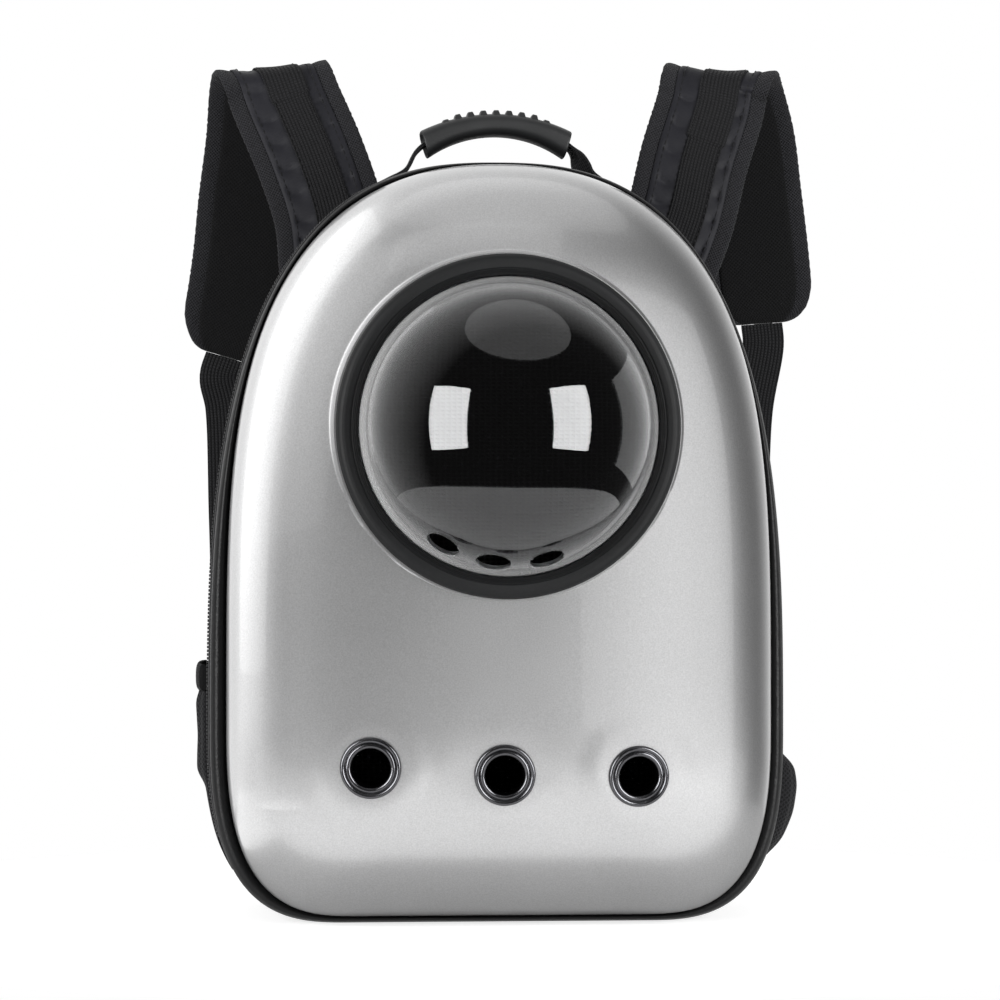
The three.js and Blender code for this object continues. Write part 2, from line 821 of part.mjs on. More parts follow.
function handleSideRoute(sign) {
  const end = handleSpan / 2;
  const gripEnd = handleArcPoint(sign * handleEndTurn, 0, 1);
  const clearance = gripEnd.y - handleSeat(sign * end).y;
  const drop = handleDrop.map((row) => {
    const place = handleSeat(sign * (end + row.out * handleReach));
    return new THREE.Vector2(place.x, place.y + row.lift * clearance);
  });
  return [...drop, handleSeat(sign * (end + handleReach + handleFootLength))];
}

function handleWebbing() {
  const shares = [-1, -0.75, -0.5, -0.25, 0, 0.25, 0.5, 0.75, 1];
  const arc = shares.map((share) => handleArcPoint(share * handleEndTurn, 0, 1));
  const route = [...handleSideRoute(-1).reverse(), ...arc, ...handleSideRoute(1)];
  const points = route.map((place) => new THREE.Vector3(place.x + handleShift, handleY, place.y));
  const acrossAt = () => new THREE.Vector3(0, 1, 0);
  const frames = curveFrames(points, evenShares(handleSteps, 1), acrossAt, () => 1);
  const section = ribbonSection(handleWebbingWidth, handleWebbingThickness);
  return ringsToSolid(ribbonRings(frames, section), false);
}

function handleArcRings(section, over) {
  return evenShares(gripSteps, 2).map((place) => {
    const share = place - 1;
    return section(share).map(([y, lift]) => {
      const point = handleArcPoint(share * handleEndTurn * over, lift, gripEndLean);
      return new THREE.Vector3(point.x + handleShift, handleY + y, point.y);
    });
  });
}

// Section of the grip. Columns: across (share of half the width) and up (share of the
// thickness, from its middle).
const gripRows = [
  { across: -1, up: -0.15 },
  { across: -0.72, up: -0.44 },
  { across: 0, up: -0.5 },
  { across: 0.72, up: -0.44 },
  { across: 1, up: -0.15 },
  { across: 1, up: 0.2 },
  { across: 0.72, up: 0.44 },
  { across: 0, up: 0.5 },
  { across: -0.72, up: 0.44 },
  { across: -1, up: 0.2 },
];
const gripWidth = handleWebbingWidth + 2 * gripSideWall;
const gripThickness = handleWebbingThickness + 2 * gripCover;

function gripSection(share) {
  const thickness = gripThickness + gripEndGrowth * share * share;
  return gripRows.map((row) => [(row.across * gripWidth) / 2, row.up * thickness]);
}

function gripChannel() {
  const half = handleWebbingWidth / 2 + seamGap;
  const lift = handleWebbingThickness / 2 + 2 * seamGap;
  return [[-half, -lift], [half, -lift], [half, lift], [-half, lift]];
}

function gripRib(place) {
  const last = (gripRibCount - 1) / 2;
  const height = Math.abs(place) === last ? gripRibHeight * gripEndRibShare : gripRibHeight;
  const block = new THREE.BoxGeometry(gripRibLength, gripRibWidth, height + gripRibRoot);
  block.translate(0, 0, handleRadius + (gripThickness + height - gripRibRoot) / 2);
  block.rotateY((place * gripRibPitch) / handleRadius);
  return facingOut(block.translate(handleShift, handleY, handleTop - handleRadius));
}

function handleGrip() {
  let grip = toManifold(ringsToSolid(handleArcRings(gripSection, 1), false));
  for (let rib = 0; rib < gripRibCount; rib += 1) {
    grip = grip.add(toManifold(gripRib(rib - (gripRibCount - 1) / 2)));
  }
  const channel = ringsToSolid(handleArcRings(gripChannel, gripChannelOverrun), false);
  return fromManifold(grip.subtract(toManifold(channel)));
}

// Side pockets. Columns: up (share from the pocket's base to its top edge) and bulge (share
// of the greatest bulge). The left pocket gapes above its middle, the right one sags low.
const leftPocketRows = [
  { up: 0, bulge: 0.01 },
  { up: 0.06, bulge: 0.01 },
  { up: 0.18, bulge: 0.01 },
  { up: 0.32, bulge: 0.01 },
  { up: 0.46, bulge: 0.03 },
  { up: 0.56, bulge: 0.28 },
  { up: 0.92, bulge: 0.24 },
  { up: 1, bulge: 0.12 },
];
const rightPocketRows = [
  { up: 0, bulge: 0.05 },
  { up: 0.06, bulge: 0.45 },
  { up: 0.18, bulge: 0.84 },
  { up: 0.32, bulge: 1 },
  { up: 0.46, bulge: 1 },
  { up: 0.56, bulge: 0.84 },
  { up: 0.66, bulge: 0.15 },
  { up: 1, bulge: 0.03 },
];
const pocketCentre = gussetFront + pocketSetBack;

function pocketPoint(side, up, bulge, column, lift) {
  const across = (column / pocketColumns) * 2 - 1;
  const y = pocketCentre + (across * pocketWidth) / 2;
  const z = THREE.MathUtils.lerp(pocketBase, pocketTop, up);
  const rounding = Math.pow(1 - Math.pow(Math.abs(across), pocketSidePower), pocketEdgePower);
  const belly = bulge * pocketBulge * rounding;
  const step = 0.5;
  const slope = (halfWidthAt(z + step, noInset) - halfWidthAt(z - step, noInset)) / (2 * step);
  const length = Math.hypot(1, slope);
  const normal = [1 / length, -slope / length];
  const out = gussetStandOut(y) * baseFade(normal) + curvedGap + belly + lift;
  const x = halfWidthAt(z, noInset) + normal[0] * out;
  return new THREE.Vector3(side * x, y, z + normal[1] * out);
}

function pocketRows(side) {
  return side < 0 ? leftPocketRows : rightPocketRows;
}

function sidePocket(side) {
  const rings = pocketRows(side).map((row) => {
    const ring = [];
    for (let column = 0; column <= pocketColumns; column += 1) {
      ring.push(pocketPoint(side, row.up, row.bulge, column, 0));
    }
    for (let column = pocketColumns; column >= 0; column -= 1) {
      ring.push(pocketPoint(side, row.up, row.bulge, column, pocketWall));
    }
    return ring;
  });
  return sheetSolid(rings);
}

// Like ringsToSolid, with caps made of the quads between the two faces of a sheet
function sheetSolid(rings) {
  const count = rings[0].length;
  const positions = rings.flat().flatMap((point) => [point.x, point.y, point.z]);
  const indices = [];
  for (let span = 0; span < rings.length - 1; span += 1) {
    for (let side = 0; side < count; side += 1) {
      const other = (side + 1) % count;
      const start = span * count;
      const next = start + count;
      indices.push(start + side, next + side, next + other);
      indices.push(start + side, next + other, start + other);
    }
  }
  for (let column = 0; column < count / 2 - 1; column += 1) {
    const back = count - 1 - column;
    const end = (rings.length - 1) * count;
    indices.push(column, column + 1, back, column + 1, back - 1, back);
    indices.push(end + column, end + back, end + column + 1);
    indices.push(end + column + 1, end + back, end + back - 1);
  }
  const geometry = new THREE.BufferGeometry();
  geometry.setAttribute("position", new THREE.Float32BufferAttribute(positions, 3));
  geometry.setIndex(indices);
  return facingOut(geometry);
}

function pocketHem(side) {
  const rows = pocketRows(side);
  const top = rows[rows.length - 1];
  const rings = [];
  for (let column = 0; column <= pocketColumns; column += 1) {
    const centre = pocketPoint(side, 1, top.bulge, column, hemThickness / 2);
    centre.z += hemHeight / 2 + seamGap;
    const ring = [];
    for (let corner = 0; corner < hemSides; corner += 1) {
      const turn = ((corner + 0.5) / hemSides) * Math.PI * 2;
      const out = (Math.cos(turn) * hemThickness) / 2;
      const up = (Math.sin(turn) * hemHeight) / 2;
      ring.push(new THREE.Vector3(centre.x + out, centre.y, centre.z + up));
    }
    rings.push(ring);
  }
  return ringsToSolid(rings, false);
}

// Finishes as the object shows them
const finishes = {
  shell: { color: 0xb9babc, roughness: 0.25, metalness: 0.7 },
  ring: { color: 0x1c1c1e, roughness: 0.5, metalness: 0 },
  dome: { color: 0x2a2c2e, roughness: 0.05, metalness: 0 },
  gunmetal: { color: 0x3b3c3f, roughness: 0.3, metalness: 0.9 },
  leatherette: { color: 0x141415, roughness: 0.45, metalness: 0 },
  piping: { color: 0x232324, roughness: 0.35, metalness: 0 },
  fabric: { color: 0x151516, roughness: 0.85, metalness: 0 },
  panelMesh: { color: 0x18181a, roughness: 0.9, metalness: 0 },
  zipTape: { color: 0x101011, roughness: 0.9, metalness: 0 },
  zipCoil: { color: 0x1d1d1e, roughness: 0.5, metalness: 0 },
  webbing: { color: 0x1a1a1b, roughness: 0.8, metalness: 0 },
  rubber: { color: 0x303132, roughness: 0.55, metalness: 0 },
  nylon: { color: 0x1b1c20, roughness: 0.7, metalness: 0 },
  binding: { color: 0x17171a, roughness: 0.9, metalness: 0 },
  hem: { color: 0x121213, roughness: 0.85, metalness: 0 },
};

const group = new THREE.Group();

function addPiece(name, geometry, finish) {
  const mesh = new THREE.Mesh(geometry, new THREE.MeshStandardMaterial(finish));
  mesh.name = name;
  group.add(mesh);
}

const coilGap = zipGap + zipTapeThickness + seamGap;
addPiece("front_shell", frontShell(), finishes.shell);
addPiece("window_ring", windowRing(), finishes.ring);
addPiece("window_dome", windowDome(), finishes.dome);
for (const [word, place] of Object.entries(ventPlaces)) {
  addPiece(`vent_grommet_${word}`, ventGrommet(place), finishes.gunmetal);
}
addPiece("rim_band", rimBand(), finishes.leatherette);
addPiece("front_piping", piping(frontPipingStart), finishes.piping);
addPiece("gusset", gusset(), finishes.fabric);
addPiece("zip_tape", zipStrip(zipTapeWidth, zipGap, zipTapeThickness, 0), finishes.zipTape);
addPiece("zip_coil", zipStrip(zipCoilWidth, coilGap, zipCoilHeight, zipCoilChamfer), finishes.zipCoil);
addPiece("rear_piping", piping(rearPipingStart), finishes.piping);
addPiece("back_panel", backPanel(), finishes.panelMesh);
addPiece("handle_webbing", handleWebbing(), finishes.webbing);
addPiece("handle_grip", handleGrip(), finishes.rubber);
for (const [side, word] of [[-1, "left"], [1, "right"]]) {
  addPiece(`shoulder_strap_${word}`, strapPad(side), finishes.nylon);
  addPiece(`strap_binding_${word}_inner`, strapBinding(side, -side), finishes.binding);
  addPiece(`strap_binding_${word}_outer`, strapBinding(side, side), finishes.binding);
  addPiece(`strap_webbing_${word}`, strapWebbing(side), finishes.webbing);
  addPiece(`tail_webbing_${word}`, tailWebbing(side), finishes.webbing);
  addPiece(`side_pocket_${word}`, sidePocket(side), finishes.fabric);
  addPiece(`pocket_hem_${word}`, pocketHem(side), finishes.hem);
}

export default group;
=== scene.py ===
"""Pet carrier backpack: hard silver front with a clear dome window and three vent eyelets, soft
black body with a zip, ribbed top handle, padded shoulder straps and two elastic side pockets."""

import math

import bpy
import numpy as np
from bpy.props import FloatProperty, FloatVectorProperty, IntProperty, PointerProperty
from mathutils import Matrix, Vector


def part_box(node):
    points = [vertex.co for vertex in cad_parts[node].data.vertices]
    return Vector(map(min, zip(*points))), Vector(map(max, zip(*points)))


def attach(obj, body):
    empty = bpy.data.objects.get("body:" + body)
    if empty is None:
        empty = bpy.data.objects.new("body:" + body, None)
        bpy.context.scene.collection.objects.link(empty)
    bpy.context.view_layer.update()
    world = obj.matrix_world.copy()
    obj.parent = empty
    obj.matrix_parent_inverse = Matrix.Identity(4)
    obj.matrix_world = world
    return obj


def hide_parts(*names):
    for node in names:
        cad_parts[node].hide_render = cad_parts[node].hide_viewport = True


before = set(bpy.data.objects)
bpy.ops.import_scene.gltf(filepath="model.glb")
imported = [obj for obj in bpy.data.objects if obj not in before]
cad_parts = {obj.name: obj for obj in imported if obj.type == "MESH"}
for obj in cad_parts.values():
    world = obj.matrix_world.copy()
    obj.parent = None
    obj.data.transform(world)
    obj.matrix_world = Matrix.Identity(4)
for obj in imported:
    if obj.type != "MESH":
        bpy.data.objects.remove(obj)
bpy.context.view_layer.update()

bl_info = {
    "name": "Pet Carrier Backpack",
    "version": (1, 0, 0),
    "blender": (4, 5, 0),
    "location": "View3D > Sidebar > Pet Carrier",
    "description": "Builds a pet carrier backpack with a clear dome window",
    "category": "Object",
}

PANEL_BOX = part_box("back_panel")
SHELL_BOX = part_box("front_shell")
RING_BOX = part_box("window_ring")
BAND_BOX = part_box("rim_band")
GUSSET_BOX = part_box("gusset")

# Clearances between pieces that touch
SEAM_GAP = 0.0003
CURVED_GAP = 0.0007

# Steps of the outlines, of the soft side, of a search, across a flat band, round the dome and
# of its painted rim light (a painted highlight)
AROUND = 400
SIDE_STEPS = 640
SEARCH_STEPS = 34
BAND_STEPS = 13
DOME_STEPS = 180
RIM_LIGHT_STEPS = 12

# Length of the body's outline, which sets the rhythm of the gathers
GIRTH = 1.32


def length(name, millimetres, description):
    return FloatProperty(
        name=name, default=millimetres / 1000, unit="LENGTH", precision=5, description=description
    )


def share(name, default, description):
    return FloatProperty(name=name, default=default, subtype="FACTOR", description=description)


def power(name, default, description):
    return FloatProperty(name=name, default=default, min=1, description=description)


def degrees(name, default, description):
    return FloatProperty(
        name=name, default=math.radians(default), subtype="ANGLE", description=description
    )


def colour(name, red, green, blue, description):
    return FloatVectorProperty(
        name=name,
        default=(red, green, blue),
        subtype="COLOR",
        min=0,
        max=1,
        description=description,
    )


def span(box, axis):
    return (box[1][axis] - box[0][axis]) * 1000


class BodySizes(bpy.types.PropertyGroup):
    width: length("Width", span(PANEL_BOX, 0), "Width of the soft body")
    height: length("Height", span(PANEL_BOX, 2), "Height of the soft body")
    shoulder: length("Shoulder height", 110, "Height at which the arch starts")
    corner: length("Corner width", 76, "Width of each lower corner")
    corner_power: power("Corner roundness", 2.9, "Power of the lower corners' curve")
    side_power: power("Arch side power", 2.6, "How full the arch is at its sides")
    top_power: power("Arch top power", 2.85, "How full the arch is at its top")
    bulge: length("Side bulge", 1.2, "How far the soft side stands out in its middle")
    wall: length("Side wall", 3, "Thickness of the soft side")
    pucker: length("Pucker", 0.35, "Depth of the gathers beside the seams")
    piping: length("Piping width", 3.4, "Width of the piping cords")
    piping_out: length("Piping stand-out", 1.3, "How far the piping stands out")
    band: length("Band depth", 16, "Depth of the dark band round the hard front")
    lip: length("Band lip thickness", 2.2, "Thickness of the band's inner lip")
    lip_reach: length("Band lip reach", 5, "How far the lip reaches behind the hard front")


class FrontSizes(bpy.types.PropertyGroup):
    side_power: power("Arch side power", 2.3, "How full the hard front's arch is at its sides")
    top_power: power("Arch top power", 3.6, "How full the hard front's arch is at its top")
    wall: length("Wall", 2.4, "Thickness of the hard front")
    skirt: length("Skirt", 12, "Straight edge behind the crown")
    crown: length("Crown depth", 74, "Depth of the rounded crown")
    crown_power: power("Crown power", 3, "How square the crown's shoulders are")
    vent_hole: length("Vent hole radius", 10.4, "Radius of a vent's hole")
    vent_flange: length("Vent flange radius", 16.5, "Radius of a vent's rolled flange")
    vent_barrel: length("Vent barrel wall", 1.3, "Wall of a vent's barrel")
    vent_roll: length("Vent roll", 2.4, "Height of a vent's rolled edge")
    vent_seat: length("Vent seat rise", -0.2, "How far a vent's flat seat stands out")
    vent_height: length("Vent height", 84.6, "Height of the right vent")
    vent_spacing: length("Vent spacing", 71.7, "Distance between vents")
    vent_lift: length("Vent lift", 5, "How much higher the left vent sits")


class WindowSizes(bpy.types.PropertyGroup):
    height: length(
        "Window height", (RING_BOX[0][2] + RING_BOX[1][2]) * 500, "Height of the window's middle"
    )
    dome: length("Dome radius", 80, "Outer radius of the dome")
    dome_wall: length("Dome wall", 2.2, "Thickness of the dome")
    flange: length("Dome flange", 8.2, "Width of the dome's flange")
    flange_thickness: length("Flange thickness", 2.7, "Thickness of the dome's flange")
    ring: length("Ring width", 11.4, "Width of the window ring")
    ring_height: length("Ring height", 8.8, "Height of the window ring")
    ledge: length("Opening ledge", 4, "How far the hard front reaches under the dome")
    seat_margin: length("Seat margin", 1, "Seat that shows round the ring")
    seat_flare: length("Seat flare", 3.5, "How far the seat's side spreads")
    seat_depth: length("Seat depth", 24, "Depth of the seat's side")
    seat_blend: length("Seat blend", 5, "Softness of the seat's foot")
    hole: length("Hole radius", 9, "Radius of the dome's air holes")
    hole_tilt: degrees("Hole tilt", 66, "How far down the dome the holes sit")
    hole_spacing: degrees("Hole spacing", 22.5, "Angle between the holes")
    hole_turn: degrees("Hole turn", -8, "How far the row of holes is turned to one side")
    # Painted highlight: near its rim the dome is painted whiter and less clear, standing in for the light
    # seen through its steep wall.
    painted_rim_light: share("Rim haze", 0.45, "How milky the dome is at its rim")
    rim_light_start: degrees("Haze start", 33, "Height on the dome at which the haze starts")
    rim_light_full: degrees("Haze full", 9, "Height on the dome below which the haze is full")


class HandleSizes(bpy.types.PropertyGroup):
    set_back: length("Set-back", 48, "Distance of the handle behind the soft side's front edge")
    shift: length("Shift", 3, "Distance of the handle from the middle")
    reach: length("Reach", 80, "Width of the grip's arc")
    sag: length("Sag", 10.8, "Height of the grip's arc")
    lift: length("Lift", 25.3, "Height of the webbing's middle above the soft body")
    webbing: length("Webbing width", 25, "Width of the handle's webbing")
    thickness: length("Webbing thickness", 2.4, "Thickness of the handle's webbing")
    leg: length("Leg", 20, "How far the webbing reaches past the grip")
    foot: length("Foot", 20, "Length of the webbing that lies on the body")
    side_wall: length("Grip side wall", 3, "Rubber beside the webbing")
    cover: length("Grip cover", 5.1, "Rubber above and below the webbing")
    end_growth: length("Grip end growth", 3.1, "How much thicker the grip's ends are")
    end_lean: share("Grip end lean", 0.55, "How far the grip's ends lean with the arc")
    ribs: IntProperty(name="Ribs", default=9, min=1, description="Number of ribs on the grip")
    rib_pitch: length("Rib pitch", 7, "Distance between the ribs")
    rib_length: length("Rib length", 3.4, "Length of a rib along the grip")
    rib_height: length("Rib height", 2.2, "Height of a rib")
    rib_width: length("Rib width", 21, "Width of a rib across the grip")


class StrapSizes(bpy.types.PropertyGroup):
    width: length("Width", 65.5, "Width of a shoulder strap")
    thickness: length("Thickness", 7, "Thickness of the padding")
    binding: length("Binding width", 12, "Width of the edge binding")
    binding_thickness: length("Binding thickness", 4.2, "Thickness of the bound edge")
    webbing: length("Webbing width", 23.5, "Width of the webbing on the strap")
    webbing_thickness: length("Webbing thickness", 1.4, "Thickness of that webbing")
    webbing_shift: length("Webbing shift", 3, "Distance of the webbing from the strap's middle")
    left_lap: share("Left lap height", 0.965, "Where the left webbing's second layer starts")
    right_lap: share("Right lap height", 0.918, "Where the right webbing's second layer starts")
    inset: length("Inset", 6.5, "How far in from the body's side the straps run")
    rise: length("Rise", 69, "How far the straps rise above the body")
    sway: length("Sway", 20, "How far both straps lean to the right")
    slip: length("Slip", 10.5, "How much lower the left pad hangs")
    stand_off: length("Stand-off", 60, "How far the straps stand off the back")
    end_start: share("Pad end start", 0.89, "Where the pad's rounded end starts")
    end_width: share("Pad end width", 0.42, "Width of the pad's tip")
    pucker: length("Pucker", 2.4, "Depth of the small creases in the nylon")
    puff: length("Puff length", 17, "Distance between the creases in the nylon")
    tail: length("Tail width", 25, "Width of the plain webbing below the pad")
    tail_thickness: length("Tail thickness", 1.6, "Thickness of the plain webbing")


class TrimSizes(bpy.types.PropertyGroup):
    zip_set_back: length("Zip set-back", 13.5, "Distance of the zip behind the side's front edge")
    tape: length("Zip tape width", 22, "Width of the zip's tape")
    tape_thickness: length("Zip tape thickness", 0.5, "Thickness of the zip's tape")
    teeth: length("Zip teeth width", 4, "Width of the closed row of teeth")
    tooth_pitch: length("Tooth pitch", 2.1, "Distance between the teeth")
    tooth_height: length("Tooth height", 0.9, "Height of the teeth")
    zip_foot: length("Zip end height", 41, "Height at which the zip's tape ends")
    pocket: length("Pocket width", 62, "Width of a side pocket")
    pocket_set_back: length("Pocket set-back", 66, "Middle of the pocket behind the side's front")
    pocket_wall: length("Pocket wall", 1.4, "Thickness of the pocket's mesh")
    pocket_bulge: length("Pocket bulge", 16, "Greatest bulge of a pocket")
    pocket_top: length("Pocket top", 125, "Height of the pocket's mesh")
    pocket_base: length("Pocket base", 26, "Height of the pocket's lower seam")
    hem: length("Hem height", 15, "Height of the pocket's elastic hem")
    hem_thickness: length("Hem thickness", 4.4, "Thickness of the elastic hem")


class Finishes(bpy.types.PropertyGroup):
    silver: colour("Silver", 0.56, 0.56, 0.563, "Lacquer of the hard front")
    ring: colour("Ring", 0.0045, 0.0047, 0.005, "Window ring")
    dome: colour("Dome", 0.42, 0.43, 0.44, "Tint of the clear dome")
    gunmetal: colour("Gunmetal", 0.085, 0.085, 0.09, "Vent eyelets")
    leatherette: colour("Leatherette", 0.0035, 0.0035, 0.0037, "Band round the hard front")
    piping: colour("Piping", 0.009, 0.009, 0.0095, "Piping cords")
    polyester: colour("Polyester", 0.004, 0.004, 0.0043, "Soft body")
    air_mesh: colour("Air mesh", 0.0065, 0.0065, 0.007, "Padded back panel")
    lining: colour("Lining", 0.0028, 0.0028, 0.003, "Inner faces of the straps")
    zip_tape: colour("Zip tape", 0.004, 0.004, 0.0043, "Tape of the zip")
    nylon_teeth: colour("Zip teeth", 0.006, 0.006, 0.0065, "Teeth of the zip")
    webbing: colour("Webbing", 0.0075, 0.0075, 0.0082, "Webbing")
    rubber: colour("Rubber", 0.009, 0.0094, 0.0098, "Handle grip")
    nylon: colour("Nylon", 0.0085, 0.0085, 0.0115, "Outer face of the straps")
    binding: colour("Binding", 0.0105, 0.0105, 0.0118, "Mesh binding of the straps")
    pocket: colour("Pocket mesh", 0.0045, 0.0045, 0.005, "Side pockets")
    thread: colour("Thread", 0.006, 0.006, 0.0065, "Stitching")
    floor: colour("Floor", 0.5, 0.5, 0.5, "Studio floor")


class StageSettings(bpy.types.PropertyGroup):
    distance: length("Camera distance", 2200, "Distance of the camera from the bag's rim")
    azimuth: degrees("Camera azimuth", -4, "Turn of the camera round the bag")
    target: length("Target height", 232, "Height that the camera looks at")
    field: length("Field", 552.6, "Width of the view at the bag's rim")
    key: FloatProperty(
        name="Softbox power", default=34, unit="POWER", description="Power of each front softbox"
    )
    left_turn: degrees("Left softbox turn", -44, "Angle of the left softbox from the view")
    right_turn: degrees("Right softbox turn", 47, "Angle of the right softbox from the view")
    top: FloatProperty(
        name="Overhead power", default=6, unit="POWER", description="Power of the overhead panel"
    )
    wash: FloatProperty(
        name="Wash power", default=9.5, unit="POWER", description="Power of the wash on the front"
    )
    table: length("Table radius", 430, "Radius of the round white table")


class CarrierSettings(bpy.types.PropertyGroup):
    body: PointerProperty(type=BodySizes, name="Body", description="Soft body, band and piping")
    front: PointerProperty(type=FrontSizes, name="Front", description="Hard front and vents")
    window: PointerProperty(type=WindowSizes, name="Window", description="Dome and ring")
    handle: PointerProperty(type=HandleSizes, name="Handle", description="Top handle")
    straps: PointerProperty(type=StrapSizes, name="Straps", description="Shoulder straps")
    trim: PointerProperty(type=TrimSizes, name="Trim", description="Zip and side pockets")
    colours: PointerProperty(type=Finishes, name="Colours", description="Colours of the finishes")
    stage: PointerProperty(type=StageSettings, name="Stage", description="Camera and light")


# Depths of the seams, measured on the frame
GUSSET_FRONT = GUSSET_BOX[0][1]
GUSSET_BACK = GUSSET_BOX[1][1]
BAND_FRONT = BAND_BOX[0][1]
BAND_BACK = BAND_BOX[1][1]
SHELL_EDGE = SHELL_BOX[1][1]
SEAT_PLANE = SHELL_BOX[0][1]
PANEL_FRONT = PANEL_BOX[0][1]
PANEL_FACE = PANEL_BOX[1][1]


# Outline of the body and of the hard front
class Outline:
    """Closed outline seen from the front: a flat base, rounded corners and a full arch."""

    def __init__(self, body, insets, powers):
        self.body = body
        self.side, self.top, self.base = insets
        self.side_power, self.top_power = powers

    def sizes(self, inset=0.0):
        half = self.body.width / 2 - self.side - inset
        top = self.body.height - self.top - inset
        base = self.base + inset
        shoulder = base + self.body.shoulder * (top - base) / self.body.height
        corner = self.body.corner * half / (self.body.width / 2)
        return half, base, shoulder, top, corner

    def points(self, count=AROUND, inset=0.0):
        """Evenly spaced [x, z] points from the middle of the base, anticlockwise."""
        half, base, shoulder, top, corner = self.sizes(inset)
        turn = np.linspace(0, math.pi / 2, 400)
        power = self.body.corner_power
        corner_x = half - corner * (1 - np.sin(turn) ** (2 / power))
        corner_z = shoulder - (shoulder - base) * np.cos(turn) ** (2 / power)
        arch_x = half * np.abs(np.cos(turn)) ** (2 / self.side_power)
        arch_z = shoulder + (top - shoulder) * np.sin(turn) ** (2 / self.top_power)
        right = np.column_stack([np.append(corner_x, arch_x[1:]), np.append(corner_z, arch_z[1:])])
        left = right[-2::-1] * [-1, 1]
        ring = np.vstack([[0, base], right, left, [0, base]])
        steps = np.append(0, np.cumsum(np.hypot(*np.diff(ring, axis=0).T)))
        even = np.linspace(0, steps[-1], count + 1)[:-1]
        return np.column_stack([np.interp(even, steps, ring[:, 0]), np.interp(even, steps, ring[:, 1])])

    def outside(self, x, z, inset):
        """Positive where a point lies outside the outline drawn in by the inset."""
        half, base, shoulder, top, corner = self.sizes(inset)
        half, corner = np.maximum(half, 1e-6), np.maximum(corner, 1e-6)
        up = np.clip((z - shoulder) / np.maximum(top - shoulder, 1e-6), 0, None)
        arch = (np.abs(x) / half) ** self.side_power + up**self.top_power - 1
        across = np.clip((np.abs(x) - (half - corner)) / corner, 0, None)
        down = np.clip((shoulder - z) / np.maximum(shoulder - base, 1e-6), 0, None)
        low = across**self.body.corner_power + down**self.body.corner_power - 1
        return np.where(z >= shoulder, arch, low)

    def depth_share(self, x, z):
        """Share of the half width by which the outline is drawn in to reach each point."""
        half = self.sizes()[0]
        near, far = np.zeros(np.shape(x)), np.full(np.shape(x), 1.0)
        for _ in range(SEARCH_STEPS):
            middle = (near + far) / 2
            out = self.outside(x, z, middle * half) > 0
            near, far = np.where(out, near, middle), np.where(out, middle, far)
        return near

    def half_width(self, z):
        """Half the width at each height."""
        half, base, shoulder, top, corner = self.sizes()
        up = np.clip((z - shoulder) / (top - shoulder), 0, 1) ** self.top_power
        down = np.clip((shoulder - z) / (shoulder - base), 0, 1) ** self.body.corner_power
        low = half - corner * (1 - (1 - down) ** (1 / self.body.corner_power))
        return np.where(z >= shoulder, half * (1 - up) ** (1 / self.side_power), low)

    def height(self, x):
        """Height of the arch at each distance from the middle."""
        half, _, shoulder, top, _ = self.sizes()
        across = (np.abs(x) / half) ** self.side_power
        return shoulder + (top - shoulder) * (1 - across) ** (1 / self.top_power)


def body_outline(sizes):
    body = sizes.body
    return Outline(body, (0, 0, 0), (body.side_power, body.top_power))


def shell_outline(sizes):
    side = sizes.body.width / 2 - SHELL_BOX[1][0]
    top = sizes.body.height - SHELL_BOX[1][2]
    front = sizes.front
    return Outline(sizes.body, (side, top, SHELL_BOX[0][2]), (front.side_power, front.top_power))


def normals_of(points):
    """Outward normals of a closed ring of [x, z] points."""
    along = np.roll(points, -1, axis=0) - np.roll(points, 1, axis=0)
    along /= np.hypot(*along.T)[:, None]
    return np.column_stack([along[:, 1], -along[:, 0]])


def base_fade(normals):
    """What stands out fades to nothing under the flat base."""
    return np.where(normals[:, 1] < 0, np.clip(1 + 1.01 * normals[:, 1], 0, None), 1)


def smooth(low, high, value):
    t = np.clip((value - low) / (high - low), 0, 1)
    return t * t * (3 - 2 * t)


def waves(value, lengths, seed):
    """Smooth irregular waves of about unit height, from sines of the given wavelengths."""
    total = 0
    for number, wavelength in enumerate(lengths):
        phase = seed * 1.7 + number * 2.4
        total = total + np.sin(2 * math.pi * value / wavelength + phase)
    return total / len(lengths)


# Meshes
def lengths_along(points, closed):
    """Mean running length of a grid's rows, with one more entry for a closed grid."""
    nexts = np.roll(points, -1, axis=0) if closed else points[1:]
    starts = points if closed else points[:-1]
    steps = np.linalg.norm(nexts - starts, axis=2).mean(axis=1)
    return np.append(0, np.cumsum(steps))


def grid_quads(rows, columns, closed_rows, closed_columns):
    row, column = np.meshgrid(
        np.arange(rows if closed_rows else rows - 1),
        np.arange(columns if closed_columns else columns - 1),
        indexing="ij",
    )
    row, column = row.ravel(), column.ravel()
    corners = [(row, column), (row, column + 1), (row + 1, column + 1), (row + 1, column)]
    quads = np.column_stack([(r % rows) * columns + c % columns for r, c in corners])
    marks = np.stack([np.column_stack([r, c]) for r, c in corners], axis=1)
    return quads, marks


